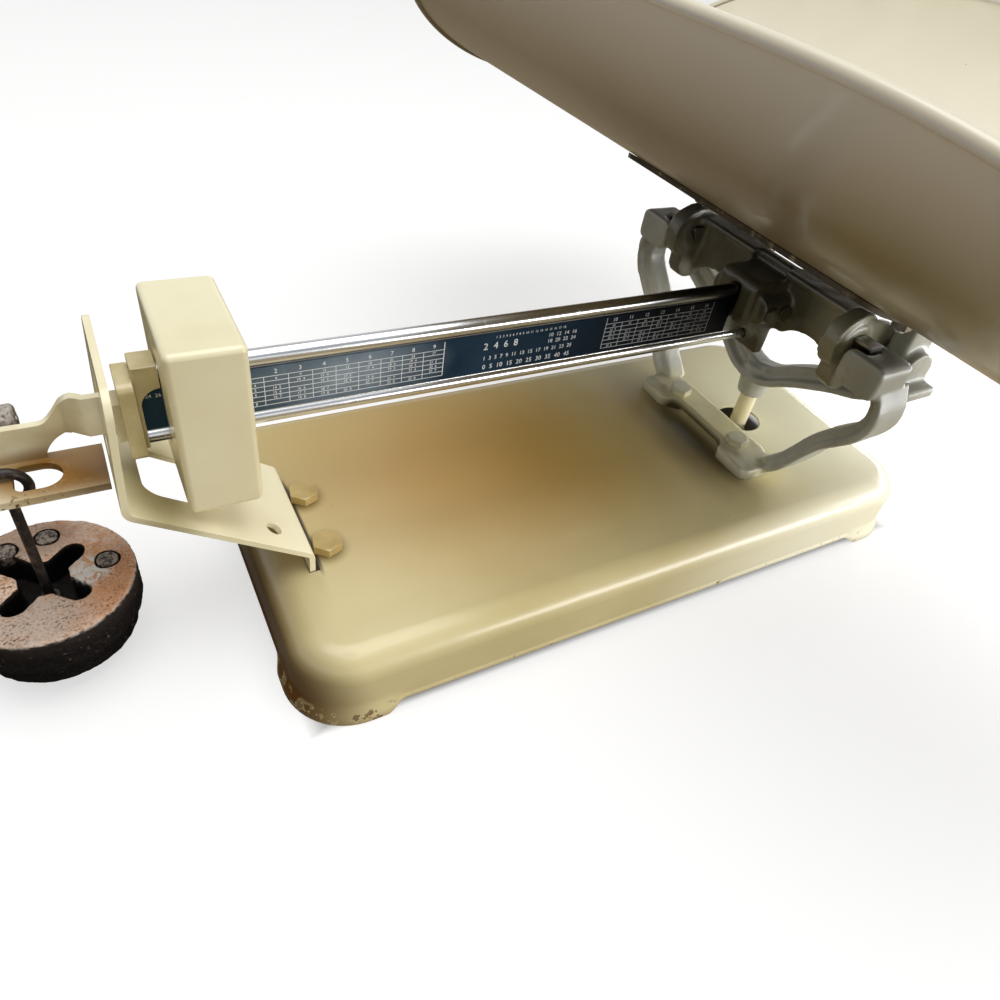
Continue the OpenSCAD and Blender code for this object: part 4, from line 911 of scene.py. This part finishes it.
def makePrint():
    near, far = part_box("near_plate"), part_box("far_plate")
    nearSide, farSide = near[0].y, far[1].y
    marks = []
    first = 1
    for leftX, columns in printing["tables"]:
        middleX = baseMiddle + leftX + columns * printing["pitch"] / 2
        marks += printTable(middleX, columns, near[1].z, nearSide, first)
        first += columns
    for body, x, z, height in printing["lines"]:
        marks.append(printText(body, baseMiddle + x * mm, z * mm, height * mm, nearSide))
    # The poise reads least near the fulcrum and most at the beam's end, where it is at rest
    restX = sum(c.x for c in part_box("poise_index")) / 2
    pounds, parts = graduations["pounds"], graduations["parts"]
    pound = graduations["travel"] / pounds
    tickTop = far[1].z - graduations["topDrop"]
    for every, length in graduations["ticks"]:
        tick = printBlock(restX, tickTop - length * mm / 2, printing["rule"], length * mm, farSide)
        dropPlace(tick)
        useModifier(tick, "ARRAY", {"count": pounds * parts // every + 1, "use_relative_offset": False,
            "use_constant_offset": True, "constant_offset_displace": (pound * every / parts, 0, 0)})
        marks.append(tick)
    figureZ = far[0].z + graduations["figureLift"]
    for k in range(pounds + 1):
        marks.append(printText(str(pounds - k), restX + k * pound, figureZ, graduations["figure"], farSide))
    for mark in marks:
        dropPlace(mark)
    piece = joinPieces(marks)
    bpy.ops.object.mode_set(mode="EDIT")
    bpy.ops.mesh.select_all(action="SELECT")
    bpy.ops.mesh.remove_doubles(threshold=0.001 * mm)
    bpy.ops.mesh.normals_make_consistent(inside=False)
    bpy.ops.object.mode_set(mode="OBJECT")
    return placePiece(piece, "printedFigures", "lever", whiteInk)


makePrint()
print("plates printed")

# The floor glows white to the camera, but not in the dark under the base, and polished pieces mirror it as warm
# and dim, most of all left of the base
floor = {"size": 6.0, "drop": 0.2 * mm, "warm": "#8B7B60", "white": (0.45, 0.45, 0.45, 1), "mirrored": "#FFF6E6",
    "mirrorGlow": 0.12, "glow": 0.62, "edge": (0.93, 0.985), "dim": "#2A2114", "dimHalf": 10 * mm,
    "dimShare": 0.9}


def floorMaterial():
    material = bpy.data.materials.new("paleFloor")
    material.use_nodes = True
    tree = material.node_tree
    tree.nodes.remove(tree.nodes["Principled BSDF"])
    low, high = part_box("base_shell")
    seen = addNode(tree, "ShaderNodeLightPath")
    warm = addNode(tree, "ShaderNodeBsdfDiffuse", {"Color": hexColour(floor["warm"])})
    mirrored = addNode(tree, "ShaderNodeEmission",
        {"Color": hexColour(floor["mirrored"]), "Strength": floor["mirrorGlow"]})
    white = addNode(tree, "ShaderNodeBsdfDiffuse", {"Color": floor["white"]})
    spot = addNode(tree, "ShaderNodeSeparateXYZ", None,
        {0: addNode(tree, "ShaderNodeTexCoord").outputs["Object"]})
    sides = []  # how far a spot lies from the base's middle: 1 at its walls
    for axis, middle, half in ((0, (low.x + high.x) / 2, (high.x - low.x) / 2), (1, 0.0, high.y)):
        offset = addNode(tree, "ShaderNodeMath", {"operation": "SUBTRACT", 1: middle}, {0: spot.outputs[axis]})
        share = addNode(tree, "ShaderNodeMath", {"operation": "DIVIDE", 1: half}, {0: offset.outputs[0]})
        sides.append(addNode(tree, "ShaderNodeMath", {"operation": "ABSOLUTE"}, {0: share.outputs[0]}))
    out = addNode(tree, "ShaderNodeMath", {"operation": "MAXIMUM"},
        {0: sides[0].outputs[0], 1: sides[1].outputs[0]}).outputs[0]
    strength = addNode(tree, "ShaderNodeMapRange",
        {"From Min": floor["edge"][0], "From Max": floor["edge"][1], "To Max": floor["glow"]}, {"Value": out})
    glow = addNode(tree, "ShaderNodeEmission", {"Color": (1, 1, 1, 1)}, {"Strength": strength.outputs[0]})
    toCamera = addNode(tree, "ShaderNodeAddShader", None, {0: white.outputs[0], 1: glow.outputs[0]})
    inGloss = addNode(tree, "ShaderNodeAddShader", None, {0: warm.outputs[0], 1: mirrored.outputs[0]})
    dim = addNode(tree, "ShaderNodeBsdfDiffuse", {"Color": hexColour(floor["dim"])})
    left = addNode(tree, "ShaderNodeMapRange", {"From Min": low.x + floor["dimHalf"],
        "From Max": low.x - floor["dimHalf"], "To Max": floor["dimShare"]}, {"Value": spot.outputs[0]})
    inGloss = addNode(tree, "ShaderNodeMixShader", None,
        {0: left.outputs[0], 1: inGloss.outputs[0], 2: dim.outputs[0]})
    unseen = addNode(tree, "ShaderNodeMixShader", None,
        {0: seen.outputs["Is Glossy Ray"], 1: warm.outputs[0], 2: inGloss.outputs[0]})
    mixed = addNode(tree, "ShaderNodeMixShader", None,
        {0: seen.outputs["Is Camera Ray"], 1: unseen.outputs[0], 2: toCamera.outputs[0]})
    tree.links.new(mixed.outputs[0], tree.nodes["Material Output"].inputs["Surface"])
    return material


deselectAll()
bpy.ops.mesh.primitive_plane_add(size=floor["size"], location=(0, 0, -floor["drop"]))
ground = bpy.context.object
ground.name = "paleFloor"
ground.data.materials.append(floorMaterial())

# A studio's light: plain grey to matt surfaces, banded for gloss to mirror, and white to the camera
studio = {"plain": (0.36, 0.36, 0.35, 1), "bands": ((0.0, "#FFFFFF"), (0.28, "#F2F3F4"), (0.45, "#9A9C9E"),
    (0.62, "#B9BBBC"), (0.8, "#FFFFFF"))}


def studioWorld():
    world = bpy.data.worlds.new("softStudio")
    world.use_nodes = True
    tree = world.node_tree
    seen = addNode(tree, "ShaderNodeLightPath")
    upward = addNode(tree, "ShaderNodeSeparateXYZ", None,
        {0: addNode(tree, "ShaderNodeTexCoord").outputs["Generated"]}).outputs[2]
    bands = addNode(tree, "ShaderNodeValToRGB", {"stops": studio["bands"]}, {0: upward}).outputs[0]
    shown = addNode(tree, "ShaderNodeMix", {"data_type": "RGBA", 6: studio["plain"]},
        {0: seen.outputs["Is Glossy Ray"], 7: bands})
    final = layColour(tree, shown.outputs[2], "#FFFFFF", seen.outputs["Is Camera Ray"])
    tree.links.new(final, tree.nodes["Background"].inputs["Color"])
    return world


scene.world = studioWorld()

# A soft overhead lamp and two fills: place, size, watts and the point each is aimed at
lamps = {"overhead": ((0.05, -0.10, 1.7), (1.5, 1.5), 22.0, (0, 0, 0)),
    "nearRight": ((0.46, -0.70, 0.12), (0.60, 0.20), 3.6, (0.16, 0, 0.01)),
    "underTray": ((0.42, -0.06, 0.12), (0.40, 0.08), 0.8, (0.13, 0, 0.04))}
for name, (place, size, power, aim) in lamps.items():
    lamp = bpy.data.lights.new(name, "AREA")
    lamp.shape = "RECTANGLE"
    lamp.size, lamp.size_y = size
    lamp.energy = power
    holder = bpy.data.objects.new(name, lamp)
    holder.location = place
    holder.rotation_euler = (Vector(aim) - Vector(place)).to_track_quat("-Z", "Y").to_euler()
    scene.collection.objects.link(holder)

# The photograph's view: its place, its right, up and back axes, and its lens, solved from the base and beam
view = {"place": (-0.207325, -0.2450, 0.2863), "lens": 26.784,
    "right": (0.87634608, -0.46207868, 0.13601779), "up": (0.22580551, 0.6435294, 0.73135612),
    "back": (-0.42547552, -0.61020751, 0.66829438)}
camera = bpy.data.cameras.new("photographView")
camera.lens = view["lens"]
camera.sensor_width = 36
camera.clip_start = 0.01
holder = bpy.data.objects.new("photographView", camera)
axes = Matrix((view["right"], view["up"], view["back"])).transposed()
holder.matrix_world = Matrix.Translation(view["place"]) @ axes.to_4x4()
scene.collection.objects.link(holder)
scene.camera = holder
scene.view_settings.view_transform = "Standard"
